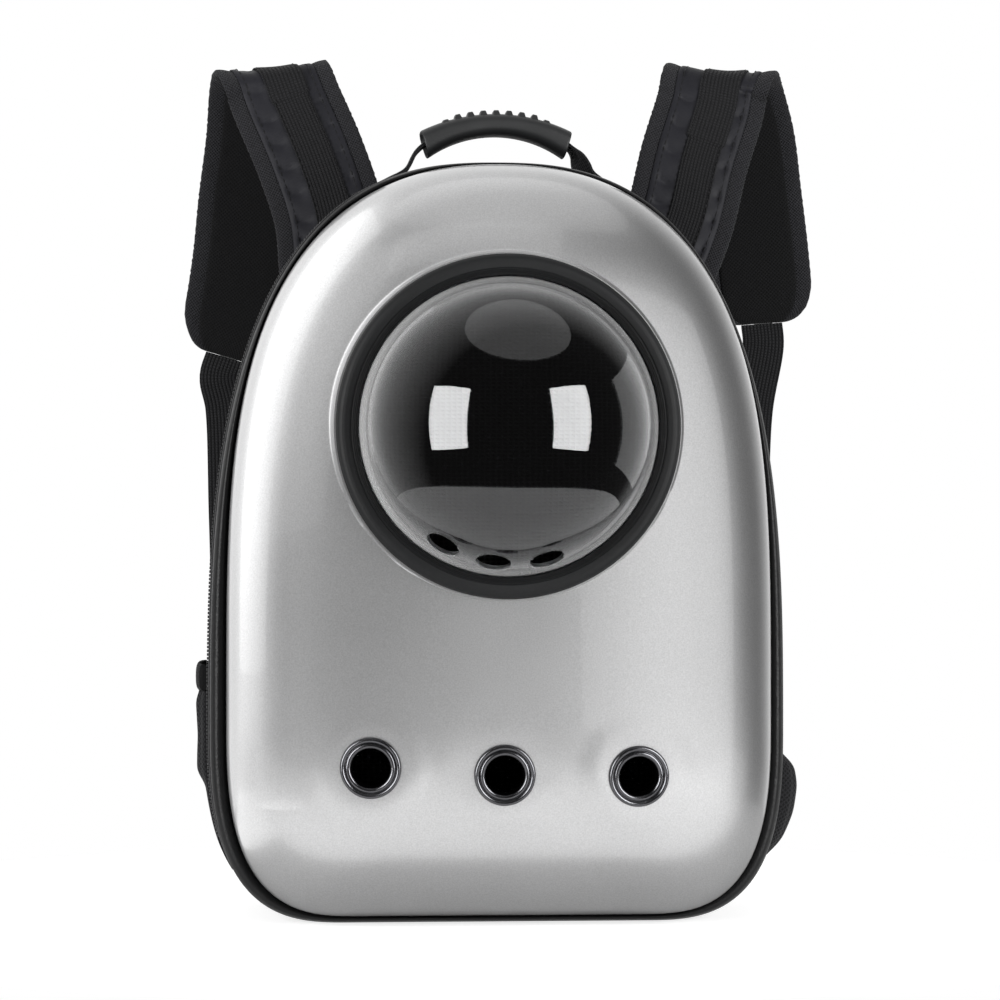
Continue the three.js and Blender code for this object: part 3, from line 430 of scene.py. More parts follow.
def mesh_piece(name, points, faces, materials, uv=None, slots=None, sharp=40):
    """Makes an object from points in metres. The faces are turned outwards."""
    mesh = bpy.data.meshes.new(name)
    corners = np.concatenate([np.asarray(face).ravel() for face in faces])
    sizes = np.concatenate([np.full(len(face), face.shape[1]) for face in faces])
    starts = np.append(0, np.cumsum(sizes)[:-1])
    first = points[corners[starts]]
    second = points[corners[starts + 1]]
    third = points[corners[starts + 2]]
    last = points[corners[starts + sizes - 1]]
    volume = np.einsum("ij,ij->", first, np.cross(second, third) + np.cross(third, last))
    mesh.vertices.add(len(points))
    mesh.vertices.foreach_set("co", np.asarray(points, dtype=np.float32).ravel())
    mesh.loops.add(len(corners))
    mesh.loops.foreach_set("vertex_index", corners.astype(np.int32))
    mesh.polygons.add(len(sizes))
    mesh.polygons.foreach_set("loop_start", starts.astype(np.int32))
    if slots is not None:
        mesh.polygons.foreach_set("material_index", np.asarray(slots, dtype=np.int32))
    if uv is not None:
        layer = mesh.uv_layers.new(name="length")
        layer.uv.foreach_set("vector", np.asarray(uv, dtype=np.float32).ravel())
    mesh.polygons.foreach_set("use_smooth", np.ones(len(sizes), dtype=bool))
    mesh.update(calc_edges=True)
    if volume < 0:
        mesh.flip_normals()
    mesh.set_sharp_from_angle(angle=math.radians(sharp))
    for material in materials:
        mesh.materials.append(material)
    piece = bpy.data.objects.new(name, mesh)
    bpy.context.collection.objects.link(piece)
    return piece


def grid_parts(rings, closed_rows=False, closed_columns=True, caps="fan"):
    """Points, faces and UVs of the skin over a grid of rings."""
    rings = np.asarray(rings, dtype=float)
    rows, columns = rings.shape[:2]
    along = lengths_along(rings, closed_rows)
    across = lengths_along(rings.transpose(1, 0, 2), closed_columns)
    quads, marks = grid_quads(rows, columns, closed_rows, closed_columns)
    uv = np.stack([along[marks[..., 0]], across[marks[..., 1]]], axis=-1).reshape(-1, 2)
    points = rings.reshape(-1, 3)
    faces = [quads]
    uvs = [uv]
    if not closed_rows and closed_columns and caps == "fan":
        for row, start in ((0, 0), (rows - 1, (rows - 1) * columns)):
            column = np.arange(columns)
            after = (column + 1) % columns
            middle = np.full(columns, len(points))
            order = (start + after, start + column) if row == 0 else (start + column, start + after)
            faces.append(np.column_stack([order[0], order[1], middle]))
            points = np.vstack([points, rings[row].mean(axis=0)])
            uvs.append(np.tile([along[row], 0.0], (columns * 3, 1)))
    if not closed_rows and closed_columns and caps == "strip":
        half = columns // 2
        column = np.arange(half - 1)
        for row, start in ((0, 0), (rows - 1, (rows - 1) * columns)):
            strip = [column, column + 1, columns - 2 - column, columns - 1 - column]
            strip = strip[::-1] if row == 0 else strip
            faces.append(np.column_stack([start + part for part in strip]))
            uvs.append(np.tile([along[row], 0.0], ((half - 1) * 4, 1)))
    return points, faces, np.vstack(uvs)


def skin(name, rings, materials, slots=None, sharp=40, **options):
    """One closed skin over a grid of rings. `slots` gives a material number for each column."""
    points, faces, uv = grid_parts(rings, **options)
    marks = None
    if slots is not None:
        marks = np.zeros(sum(len(face) for face in faces), dtype=int)
        columns = np.shape(rings)[1]
        marks[: len(faces[0])] = np.tile(slots, len(faces[0]) // columns)
    return mesh_piece(name, points, faces, materials, uv, marks, sharp)


def turned_rings(profile, steps):
    """Rings of a profile of [radius, forward] pairs turned about the line to the front."""
    profile = np.asarray(profile, dtype=float)
    turn = np.linspace(0, 2 * math.pi, steps, endpoint=False)
    radius, forward = profile[:, 0], profile[:, 1]
    x = np.outer(np.cos(turn), radius)
    z = np.outer(np.sin(turn), radius)
    return np.stack([x, np.tile(-forward, (steps, 1)), z], axis=-1)


def at_depth(flat, y):
    """A ring of [x, z] points set at a depth, or each at a depth of its own."""
    return np.column_stack([flat[:, 0], np.broadcast_to(y, len(flat)), flat[:, 1]])


def turned_to(inward):
    """Turn that takes the line from front to back onto a given direction."""
    return Vector((0, 1, 0)).rotation_difference(inward).to_matrix()


def set_at(rings, turn, middle):
    return rings @ np.array(turn).T + np.array(middle)


def band_section(low, high, rounding):
    """Places across a flat band, there and back, and the level of each, thinner at its edges."""
    there = np.linspace(-1, 1, BAND_STEPS)
    flat = np.append(there, there[::-1])
    return flat, np.repeat([low, high], BAND_STEPS) * (1 - np.abs(flat) ** 10 * rounding)


def rounded(profile, radius, steps=4):
    """A closed profile with each corner cut round, by the radius or a third of its side."""
    profile = np.asarray(profile, dtype=float)
    made = []
    for index, corner in enumerate(profile):
        before = profile[index - 1] - corner
        after = profile[(index + 1) % len(profile)] - corner
        reach = min(radius, np.linalg.norm(before) / 3, np.linalg.norm(after) / 3)
        start = corner + before / np.linalg.norm(before) * reach
        end = corner + after / np.linalg.norm(after) * reach
        for t in np.linspace(0, 1, steps):
            made.append((1 - t) ** 2 * start + 2 * t * (1 - t) * corner + t**2 * end)
    return np.array(made)


def join_parts(name, parts, materials, sharp=40):
    """One object from several sets of points and faces."""
    points, faces, offset = [], [], 0
    for part_points, part_faces in parts:
        points.append(part_points)
        faces.extend(face + offset for face in part_faces)
        offset += len(part_points)
    return mesh_piece(name, np.vstack(points), faces, materials, sharp=sharp)


def dress(piece, slot, *nodes):
    """Puts a piece on the carrier in place of its plain solids."""
    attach(piece, "root")
    if nodes:
        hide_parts(*nodes)
    return piece


def cut(piece, cutter):
    """Cuts one closed object out of another and deletes the cutter."""
    modifier = piece.modifiers.new("cut", "BOOLEAN")
    modifier.operation = "DIFFERENCE"
    modifier.solver = "EXACT"
    modifier.object = cutter
    depsgraph = bpy.context.evaluated_depsgraph_get()
    mesh = bpy.data.meshes.new_from_object(piece.evaluated_get(depsgraph))
    piece.modifiers.clear()
    old = piece.data
    piece.data = mesh
    bpy.data.meshes.remove(old)
    bpy.data.objects.remove(cutter)


# Materials
class Finish:
    """A procedural material, built node by node."""

    def __init__(self, name, base, roughness, metallic=0.0, **sockets):
        self.material = bpy.data.materials.new(name)
        self.material.use_nodes = True
        self.tree = self.material.node_tree
        self.shader = self.tree.nodes["Principled BSDF"]
        self.base = (*base, 1)
        self.shader.inputs["Base Color"].default_value = self.base
        self.shader.inputs["Roughness"].default_value = roughness
        self.shader.inputs["Metallic"].default_value = metallic
        for socket, value in sockets.items():
            self.shader.inputs[socket.replace("_", " ")].default_value = value
        self.heights = []

    def node(self, kind, **settings):
        node = self.tree.nodes.new(kind)
        for key, value in settings.items():
            setattr(node, key, value)
        return node

    def link(self, output, socket):
        self.tree.links.new(output, socket)

    def place(self, flat=False, scale=(1, 1, 1), turn=0.0):
        """Coordinates in metres: along the cloth's own length and width, or in space."""
        source = self.node("ShaderNodeTexCoord")
        mapping = self.node("ShaderNodeMapping")
        mapping.inputs["Scale"].default_value = scale
        mapping.inputs["Rotation"].default_value = (0, 0, turn)
        self.link(source.outputs["UV" if flat else "Object"], mapping.inputs["Vector"])
        return mapping.outputs["Vector"]

    def maths(self, operation, first, second=0.0):
        node = self.node("ShaderNodeMath", operation=operation)
        for socket, value in zip(node.inputs, (first, second)):
            if isinstance(value, bpy.types.NodeSocket):
                self.link(value, socket)
            else:
                socket.default_value = value
        return node.outputs[0]

    def noise(self, size, place=None, detail=2.0, rough=0.5):
        node = self.node("ShaderNodeTexNoise")
        node.inputs["Scale"].default_value = 1 / size
        node.inputs["Detail"].default_value = detail
        node.inputs["Roughness"].default_value = rough
        self.link(place or self.place(), node.inputs["Vector"])
        return node.outputs["Fac"]

    def cells(self, size, feature="F1", place=None, output="Distance"):
        node = self.node("ShaderNodeTexVoronoi", feature=feature)
        node.inputs["Scale"].default_value = 1 / size
        self.link(place or self.place(), node.inputs["Vector"])
        return node.outputs[output]

    def ridges(self, place, axis, pitch, shift=0.0):
        """Rounded ridges that follow each other along one axis, from 0 to 1."""
        parts = self.node("ShaderNodeSeparateXYZ")
        self.link(place, parts.inputs[0])
        turn = self.maths("MULTIPLY", parts.outputs[axis], math.pi / pitch)
        return self.maths("ABSOLUTE", self.maths("SINE", self.maths("ADD", turn, shift)))

    def ramp(self, value, low, high, start=0.0, end=1.0):
        node = self.node("ShaderNodeMapRange", clamp=True)
        for socket, number in zip(("From Min", "From Max", "To Min", "To Max"), (low, high, start, end)):
            node.inputs[socket].default_value = number
        self.link(value, node.inputs["Value"])
        return node.outputs["Result"]

    def shade(self, value, dark, light):
        """Varies the base colour between two shares of itself."""
        mix = self.node("ShaderNodeMix", data_type="RGBA")
        mix.inputs["A"].default_value = (*[c * dark for c in self.base[:3]], 1)
        mix.inputs["B"].default_value = (*[min(1, c * light) for c in self.base[:3]], 1)
        self.link(value, mix.inputs["Factor"])
        self.link(mix.outputs["Result"], self.shader.inputs["Base Color"])
        return mix.outputs["Result"]

    def rough(self, value, low, high):
        self.link(self.ramp(value, 0, 1, low, high), self.shader.inputs["Roughness"])

    def bump(self, value, depth, strength=1.0):
        """Adds a relief of the given depth in metres."""
        node = self.node("ShaderNodeBump")
        node.inputs["Distance"].default_value = depth
        node.inputs["Strength"].default_value = strength
        self.link(value, node.inputs["Height"])
        if self.heights:
            self.link(self.heights[-1], node.inputs["Normal"])
        self.heights.append(node.outputs["Normal"])
        self.link(node.outputs["Normal"], self.shader.inputs["Normal"])
        return self


def silver_lacquer(colours):
    """Silver paint with a fine metal flake under a clear gloss coat."""
    finish = Finish(
        "silver lacquer", colours.silver, 0.5, 0.78, Coat_Weight=0.8, Coat_Roughness=0.03
    )
    flake = finish.cells(0.0009, output="Color")
    grain = finish.noise(0.0008, detail=2)
    cloud = finish.noise(0.09, detail=3)
    level = finish.maths("ADD", finish.ramp(grain, 0.3, 0.7, 0, 0.8), finish.ramp(cloud, 0.3, 0.7, 0, 0.2))
    finish.shade(level, 0.88, 1.12)
    finish.rough(cloud, 0.33, 0.38)
    finish.bump(flake, 0.00001, 0.5)
    return finish.material


def ring_plastic(colours):
    """Satin black moulding with a fine turned grain."""
    finish = Finish("ring plastic", colours.ring, 0.55, Specular_IOR_Level=0.2)
    finish.shade(finish.noise(0.0012, detail=4), 0.6, 1.6)
    finish.rough(finish.noise(0.006, detail=4), 0.5, 0.62)
    finish.bump(finish.noise(0.0007, detail=3), 0.00006)
    return finish.material


def dome_acrylic(colours, painted_rim_light):
    """Clear acrylic with a light smoke tint and faint handling marks. Near its rim it is painted whiter and
    less clear: a painted highlight that stands in for the light seen through the steep wall."""
    base = [tint + (0.85 - tint) * min(1, painted_rim_light * 6) for tint in colours.dome]
    finish = Finish(f"dome acrylic {painted_rim_light:.2f}", base, 0.0, IOR=1.5, Transmission_Weight=1 - painted_rim_light)
    marks = finish.noise(0.003, finish.place(scale=(1, 1, 0.25)), detail=6)
    finish.rough(finish.ramp(marks, 0.72, 0.86), 0.0, 0.02)
    finish.bump(finish.noise(0.05), 0.00006, 0.6)
    return finish.material


def gunmetal(colours):
    """Polished dark plating with fine turning lines."""
    finish = Finish("gunmetal", colours.gunmetal, 0.2, 1.0)
    finish.shade(finish.noise(0.004, detail=4), 0.8, 1.3)
    finish.rough(finish.noise(0.002, detail=4), 0.14, 0.3)
    finish.bump(finish.noise(0.0006), 0.00001)
    return finish.material


def grained(name, base, roughness, pebble, depth):
    """Coated cloth with a pebbled grain and a patchy tone."""
    finish = Finish(name, base, roughness, Specular_IOR_Level=0.18)
    pebbles = finish.cells(pebble, "SMOOTH_F1")
    finish.shade(finish.noise(0.012, detail=4), 0.7, 1.5)
    finish.rough(finish.noise(0.004, detail=3), roughness - 0.06, roughness + 0.08)
    finish.bump(pebbles, depth).bump(finish.noise(0.003, detail=3), depth)
    return finish


def woven(name, base, pitch, depth, roughness=0.85, flat=True, gloss=0.12):
    """Plain woven cloth: rows of warp and weft that pass over each other."""
    finish = Finish(
        name, base, roughness, Sheen_Weight=0.03, Sheen_Roughness=0.45, Specular_IOR_Level=gloss
    )
    place = finish.place(flat=flat)
    warp = finish.ridges(place, 0, pitch)
    weft = finish.ridges(place, 1 if flat else 2, pitch)
    weave = finish.maths("MULTIPLY", warp, weft)
    cloud = finish.noise(0.03, detail=4)
    worn = finish.ramp(cloud, 0.3, 0.7, 0, 0.5)
    finish.shade(finish.maths("ADD", finish.maths("MULTIPLY", weave, 0.5), worn), 0.7, 1.3)
    finish.rough(cloud, roughness - 0.1, min(1.0, roughness + 0.08))
    finish.bump(weave, depth).bump(finish.noise(0.008, detail=3), 0.0002, 0.4)
    return finish


def ribbed_webbing(colours, name="ribbed webbing", rib=0.0021):
    """Webbing with rounded ribs along its length, each crossed by short weft floats."""
    finish = Finish(
        name, colours.webbing, 0.72, Sheen_Weight=0.04, Sheen_Roughness=0.35, Specular_IOR_Level=0.15
    )
    place = finish.place(flat=True)
    ribs = finish.ridges(place, 1, rib)
    floats = finish.ridges(place, 0, rib * 0.8)
    dashes = finish.maths("MULTIPLY", finish.maths("MULTIPLY", floats, ribs), 0.7)
    surface = finish.maths("ADD", finish.maths("MULTIPLY", ribs, 0.3), dashes)
    finish.shade(surface, 0.4, 1.7)
    finish.rough(finish.noise(0.004, detail=3), 0.62, 0.82)
    finish.bump(surface, 0.0005)
    return finish.material


def net(name, base, hole, depth, flat=True, sheen=0.03):
    """Knitted mesh: small round holes in offset rows between lighter yarns."""
    finish = Finish(
        name, base, 0.85, Sheen_Weight=sheen, Sheen_Roughness=0.5, Specular_IOR_Level=0.12
    )
    turned = finish.place(flat=flat, turn=math.radians(45))
    first = finish.ridges(turned, 0, hole)
    second = finish.ridges(turned, 1 if flat else 2, hole)
    yarn = finish.maths("SUBTRACT", 1.0, finish.maths("MULTIPLY", first, second))
    fuzz = finish.noise(0.0012, detail=3)
    finish.shade(finish.maths("MULTIPLY", yarn, finish.ramp(fuzz, 0.3, 0.7, 0.6, 1.3)), 0.3, 2.2)
    finish.bump(yarn, depth).bump(fuzz, depth * 0.5)
    return finish


def grip_rubber(colours):
    """Moulded rubber with a fine stipple and random patches, the lighter ones rougher."""
    finish = Finish("grip rubber", colours.rubber, 0.5, Specular_IOR_Level=0.35)
    cloud = finish.noise(0.02, detail=4)
    finish.shade(cloud, 0.75, 1.35)
    finish.rough(cloud, 0.42, 0.6)
    finish.bump(finish.noise(0.0008, detail=2), 0.00008)
    return finish.material


def nylon_teeth(colours):
    finish = Finish("nylon teeth", colours.nylon_teeth, 0.38)
    finish.shade(finish.noise(0.003), 0.7, 1.4)
    finish.bump(finish.noise(0.0008), 0.00003)
    return finish.material


def zip_cloth(colours):
    """Zip tape in herringbone: slanted rows that turn at every second rib."""
    finish = Finish("zip cloth", colours.zip_tape, 0.85, Sheen_Weight=0.03, Specular_IOR_Level=0.12)
    left = finish.ridges(finish.place(flat=True, turn=math.radians(35)), 0, 0.0011)
    right = finish.ridges(finish.place(flat=True, turn=math.radians(-35)), 0, 0.0011)
    side = finish.ramp(finish.ridges(finish.place(flat=True), 1, 0.0044), 0.68, 0.72)
    left = finish.maths("MULTIPLY", left, side)
    right = finish.maths("MULTIPLY", right, finish.maths("SUBTRACT", 1.0, side))
    rows = finish.maths("ADD", left, right)
    finish.shade(rows, 0.5, 1.7)
    finish.bump(rows, 0.0002)
    return finish.material


def thread(colours):
    finish = Finish("thread", colours.thread, 0.7, Sheen_Weight=0.05, Specular_IOR_Level=0.15)
    finish.shade(finish.noise(0.0015), 0.6, 1.8)
    finish.bump(finish.noise(0.0004), 0.00006)
    return finish.material


# The hard front
VENTS = {
    "left": {"across": -1.02, "lift": 1.0},
    "middle": {"across": -0.02, "lift": 0.2},
    "right": {"across": 0.985, "lift": 0.0},
}

# Shares of the half width: where the crown's flat cap starts, and where its shoulders end
CAP_SHARE = 0.58
SHOULDER_SHARE = 0.17


class Crown:
    """Front surface of the hard front as a depth over [x, z]."""

    def __init__(self, sizes):
        self.sizes = sizes
        self.front = sizes.front
        self.outline = shell_outline(sizes)
        window = sizes.window
        ring_outer = window.dome + 2 * SEAM_GAP + window.ring
        self.seat_radius = ring_outer + window.seat_margin
        self.vents = [self.vent(place) for place in VENTS.values()]

    def forward(self, depth_share):
        power = self.front.crown_power
        return (1 - (1 - depth_share) ** power) ** (1 / power)

    def plain(self, x, z, last=1.0):
        depth = np.minimum(self.outline.depth_share(x, z), last)
        return SHELL_EDGE - self.front.skirt - self.front.crown * self.forward(depth)

    def vent(self, place):
        """Middle and inward normal of a vent's seat."""
        reach = self.front.vent_flange
        x = place["across"] * self.front.vent_spacing
        z = self.front.vent_height + place["lift"] * self.front.vent_lift
        spots = np.array([[x, z], [x - reach, z], [x + reach, z], [x, z - reach], [x, z + reach]])
        y = self.plain(spots[:, 0], spots[:, 1], CAP_SHARE)
        inward = Vector(((y[1] - y[2]) / (2 * reach), 1, (y[3] - y[4]) / (2 * reach)))
        return Vector((x, y[0], z)), inward.normalized()

    def face(self, x, z):
        """Depth with the round seat of the window and the flat seats of the vents."""
        window = self.sizes.window
        y = self.plain(x, z)
        radius = np.hypot(x, z - window.height)
        over = np.clip(radius - self.seat_radius, 0, None)
        seat = SEAT_PLANE + over * window.seat_depth / window.seat_flare
        blend = np.clip(over * 2, 1e-5, window.seat_blend)
        mix = np.clip(0.5 + 0.5 * (y - seat) / blend, 0, 1)
        y = y * (1 - mix) + seat * mix - blend * mix * (1 - mix)
        y = np.where(radius <= self.seat_radius, SEAT_PLANE, y)
        flange = self.front.vent_flange
        for middle, inward in self.vents:
            flat = middle.y - ((x - middle.x) * inward.x + (z - middle.z) * inward.z) / inward.y
            near = smooth(flange * 2.1, flange * 1.05, np.hypot(x - middle.x, z - middle.z))
            y = y * (1 - near) + (flat - self.front.vent_seat) * near
        return y

    def rays(self, count):
        """Directions from the window's middle to evenly spaced points of the edge."""
        edge = self.outline.points(count)
        return edge - [0, self.sizes.window.height]

    def contour(self, rays, depth_share):
        """Where each ray crosses the outline drawn in by a share of the half width."""
        half = self.outline.sizes()[0]
        near, far = np.full(len(rays), 0.3), np.ones(len(rays))
        for _ in range(SEARCH_STEPS):
            middle = (near + far) / 2
            x, z = (rays * middle[:, None]).T
            out = self.outline.outside(x, z + self.sizes.window.height, depth_share * half) > 0
            near, far = np.where(out, near, middle), np.where(out, middle, far)
        return near


def crown_shares(crown, last, count):
    """Shares from the edge inwards that are evenly spaced over the crown's curve."""
    half = crown.outline.sizes()[0]
    turn = np.linspace(0, math.pi / 2, 2000)
    shares = 1 - np.cos(turn) ** (2 / crown.front.crown_power)
    depth = crown.front.crown * crown.forward(shares)
    run = np.append(0, np.cumsum(np.hypot(np.diff(shares) * half, np.diff(depth))))
    end = np.interp(last, shares, run)
    return np.interp(np.linspace(0, end, count), run, shares)


def shell_rings(crown, count):
    """Rings of the outer face from the window's opening to the back edge."""
    sizes = crown.sizes
    window = sizes.window
    rays = crown.rays(count)
    reach = np.hypot(*rays.T)
    centre = np.array([0, window.height])
    opening = window.dome - window.ledge
    seat = crown.seat_radius
    radii = [opening, seat - 0.008, seat - 0.003, seat - 0.0008, seat]
    radii += [seat + step for step in (0.0005, 0.001, 0.0015, 0.002, 0.0026, 0.0033, 0.0042, 0.0055)]
    rings = []
    for radius in radii:
        flat = centre + rays / reach[:, None] * radius
        rings.append(at_depth(flat, crown.face(*flat.T)))
    start = radii[-1] / reach
    end = crown.contour(rays, SHOULDER_SHARE)
    for step in np.linspace(0, 1, 44)[1:]:
        flat = centre + rays * (start + (end - start) * step)[:, None]
        rings.append(at_depth(flat, crown.face(*flat.T)))
    for depth_share in crown_shares(crown, SHOULDER_SHARE, 24)[-2::-1]:
        flat = centre + rays * crown.contour(rays, depth_share)[:, None]
        y = SHELL_EDGE - crown.front.skirt - crown.front.crown * crown.forward(depth_share)
        rings.append(at_depth(flat, y))
    edge = rings[-1][:, [0, 2]]
    for step in (0.35, 0.7, 0.97):
        rings.append(at_depth(edge, SHELL_EDGE - crown.front.skirt * (1 - step)))
    return np.array(rings)


def grid_normals(rings):
    """Smooth normals of a grid that closes round its columns."""
    around = np.roll(rings, -1, axis=1) - np.roll(rings, 1, axis=1)
    along = np.gradient(rings, axis=0)
    normal = np.cross(around, along)
    return normal / np.linalg.norm(normal, axis=2)[..., None]


def vent_plugs(crown):
    """Three plugs that bore the vents."""
    parts = []
    radius = crown.front.vent_hole + crown.front.vent_barrel + SEAM_GAP
    for middle, inward in crown.vents:
        rings = turned_rings([[radius, 0.02], [radius, -0.02]], 64).transpose(1, 0, 2)
        parts.append(grid_parts(set_at(rings, turned_to(inward), middle))[:2])
    return join_parts("vent plugs", parts, [])


class CARRIER_OT_front(bpy.types.Operator):
    """Build the hard silver front with its round seat and vent holes"""

    bl_idname = "carrier.front"
    bl_label = "Hard Front"

    def execute(self, context):
        sizes = context.scene.carrier
        crown = Crown(sizes)
        outer = shell_rings(crown, AROUND)
        inner = outer - grid_normals(outer) * self.facing(outer) * sizes.front.wall
        inner[-1, :, 1] = outer[-1, :, 1]
        rings = np.concatenate([outer, inner[::-1]])
        shell = skin("hard_front", rings, [silver_lacquer(sizes.colours)], closed_rows=True, sharp=50)
        cut(shell, vent_plugs(crown))
        dress(shell, "silver_shell", "front_shell")
        return {"FINISHED"}

    def facing(self, outer):
        """1 where the grid's normals point forward, and -1 where they point back."""
        return 1.0 if grid_normals(outer)[4, :, 1].mean() < 0 else -1.0


# Rolled front of an eyelet. Columns: share of its width outwards from the hole, and share of
# the roll's height.
EYELET_ROLL = [
    (1.0, 0.25), (0.985, 0.52), (0.94, 0.8), (0.86, 0.96), (0.77, 1.0), (0.68, 0.95),
    (0.6, 0.8), (0.545, 0.6), (0.52, 0.46), (0.49, 0.46), (0.46, 0.58), (0.4, 0.7),
    (0.31, 0.76), (0.21, 0.74), (0.12, 0.62), (0.05, 0.4), (0.015, 0.18), (0.0, 0.0),
]


class CARRIER_OT_vents(bpy.types.Operator):
    """Build the three rolled vent eyelets"""

    bl_idname = "carrier.vents"
    bl_label = "Vent Eyelets"

    def execute(self, context):
        sizes = context.scene.carrier
        front = sizes.front
        metal = gunmetal(sizes.colours)
        crown = Crown(sizes)
        width = front.vent_flange - front.vent_hole
        behind = -(2 * front.wall + front.vent_seat + SEAM_GAP)
        end = behind - 0.001
        back_edge = front.vent_flange - 0.0013
        barrel = front.vent_hole + front.vent_barrel
        profile = [[barrel, SEAM_GAP], [front.vent_flange, SEAM_GAP]]
        profile += [[front.vent_hole + a * width, b * front.vent_roll] for a, b in EYELET_ROLL]
        profile += [[front.vent_hole, end], [back_edge, end], [back_edge, behind], [barrel, behind]]
        rings = turned_rings(profile, 96)
        rings[..., 1] -= front.vent_seat
        for word, (middle, inward) in zip(VENTS, crown.vents):
            placed_rings = set_at(rings, turned_to(inward), middle)
            eyelet = skin(f"vent_eyelet_{word}", placed_rings, [metal], closed_rows=True, sharp=60)
            dress(eyelet, "gunmetal", f"vent_grommet_{word}")
        return {"FINISHED"}


# The window. The ring's face has columns: share of its width inwards, and share of its height.
RING_FACE = [
    (0, 0.5), (0.05, 0.72), (0.13, 0.87), (0.25, 0.965), (0.4, 1), (0.6, 1), (0.78, 0.96),
    (0.92, 0.86), (1, 0.72),
]

# Edge of an air hole. Columns: how much wider than the hole, and how far behind its start.
HOLE_EDGE = [
    (0.0012, 0.02), (0.0009, 0.0012), (0, 0.0003), (0, -0.0025), (0.0009, -0.0033), (0.0009, -0.02),
]


class CARRIER_OT_window(bpy.types.Operator):
    """Build the grooved ring and the clear dome with its three air holes"""

    bl_idname = "carrier.window"
    bl_label = "Window"

    def execute(self, context):
        sizes = context.scene.carrier
        self.build_ring(sizes)
        self.build_dome(sizes)
        return {"FINISHED"}

    def build_ring(self, sizes):
        window = sizes.window
        inner = window.dome + 2 * SEAM_GAP
        outer = inner + window.ring
        pocket_edge = window.dome + window.flange + SEAM_GAP
        pocket_face = window.flange_thickness + 2 * SEAM_GAP
        inward = np.linspace(0, 1, 61)
        rise = np.interp(inward, *np.array(RING_FACE).T)
        rise = np.convolve(np.pad(rise, 2, mode="edge"), np.ones(5) / 5, mode="valid")
        groove = 0.035 * np.sin((inward - 0.66) / 0.085 * 2 * math.pi) ** 2
        rise = rise - np.where((inward > 0.66) & (inward < 0.96), groove, 0)
        profile = [[outer, SEAM_GAP]]
        profile += [[outer - a * window.ring, b * window.ring_height] for a, b in zip(inward, rise)]
        profile += [[inner, pocket_face], [pocket_edge, pocket_face], [pocket_edge, SEAM_GAP]]
        rings = turned_rings(profile, 256) + [0, SEAT_PLANE, window.height]
        ring = skin("window_ring_turned", rings, [ring_plastic(sizes.colours)], closed_rows=True)
        dress(ring, "ring_plastic", "window_ring")

    def build_dome(self, sizes):
        window = sizes.window
        inner = window.dome - window.dome_wall
        flange_top = SEAM_GAP + window.flange_thickness
        near_tip = math.pi / 2 - 0.004
        lift = np.linspace(near_tip, math.asin(flange_top / window.dome), 90)
        outside = np.column_stack([np.cos(lift), np.sin(lift)]) * window.dome
        lift_inside = np.linspace(math.asin(SEAM_GAP / inner), near_tip, 60)
        inside = np.column_stack([np.cos(lift_inside), np.sin(lift_inside)]) * inner
        edge = window.dome + window.flange
        profile = np.vstack([outside, [[edge, flange_top], [edge, SEAM_GAP]], inside])
        rings = turned_rings(profile, DOME_STEPS)
        points, faces, _ = grid_parts(rings, closed_rows=True, closed_columns=False)
        count = len(profile) - 1
        column = np.arange(DOME_STEPS) * (count + 1)
        after = np.roll(column, -1)
        tip = np.full(DOME_STEPS, len(points))
        outer_cap = np.column_stack([column, after, tip])
        inner_cap = np.column_stack([after + count, column + count, tip + 1])
        tips = np.array([[0, -window.dome, 0], [0, -inner, 0]])
        points = np.vstack([points, tips]) + [0, SEAT_PLANE, window.height]
        # Painted highlight: faces near the rim get whiter, less clear acrylic in steps, standing in for the
        # light seen through the steep wall.
        painted_rim_light = (window.rim_light_start - lift) / (window.rim_light_start - window.rim_light_full)
        steps = np.round(np.clip(painted_rim_light, 0, 1) * RIM_LIGHT_STEPS).astype(int)
        slots = np.zeros(count, dtype=int)
        slots[: len(steps) - 1] = np.maximum(steps[:-1], steps[1:])
        slots = np.append(np.tile(slots, DOME_STEPS), np.zeros(2 * DOME_STEPS, dtype=int))
        acrylic = [
            dome_acrylic(sizes.colours, window.painted_rim_light * (step / RIM_LIGHT_STEPS) ** 2)
            for step in range(RIM_LIGHT_STEPS + 1)
        ]
        caps = [faces[0], outer_cap, inner_cap]
        dome = mesh_piece("clear_dome", points, caps, acrylic, slots=slots, sharp=45)
        self.bore_dome(dome, window)
        dress(dome, "smoky_dome", "window_dome")

    def bore_dome(self, dome, window):
        """Cuts the air holes, whose edges are broken on both faces of the dome."""
        profile = [[window.hole + wider, back] for wider, back in HOLE_EDGE]
        plug = turned_rings(profile, 64).transpose(1, 0, 2)
        plug[..., 1] -= window.dome - 0.0012
        parts = []
        for place in (-1, 0, 1):
            turn = Matrix.Rotation(-(window.hole_turn + place * window.hole_spacing), 3, "Y")
            turn = turn @ Matrix.Rotation(window.hole_tilt, 3, "X")
            parts.append(grid_parts(set_at(plug, turn, [0, SEAT_PLANE, window.height]))[:2])
        cut(dome, join_parts("dome plugs", parts, []))


# Band, piping, soft sides and back
def swept(outline_points, normals, section):
    """Rings of a section of [out, y] rows carried round the outline."""
    out = np.tile(section[:, 0], (len(normals), 1))
    out = np.where(out > 0, out * base_fade(normals)[:, None], out)
    x = outline_points[:, 0, None] + normals[:, 0, None] * out
    z = outline_points[:, 1, None] + normals[:, 1, None] * out
    y = np.tile(section[:, 1], (len(normals), 1))
    return np.stack([x, y, z], axis=-1)


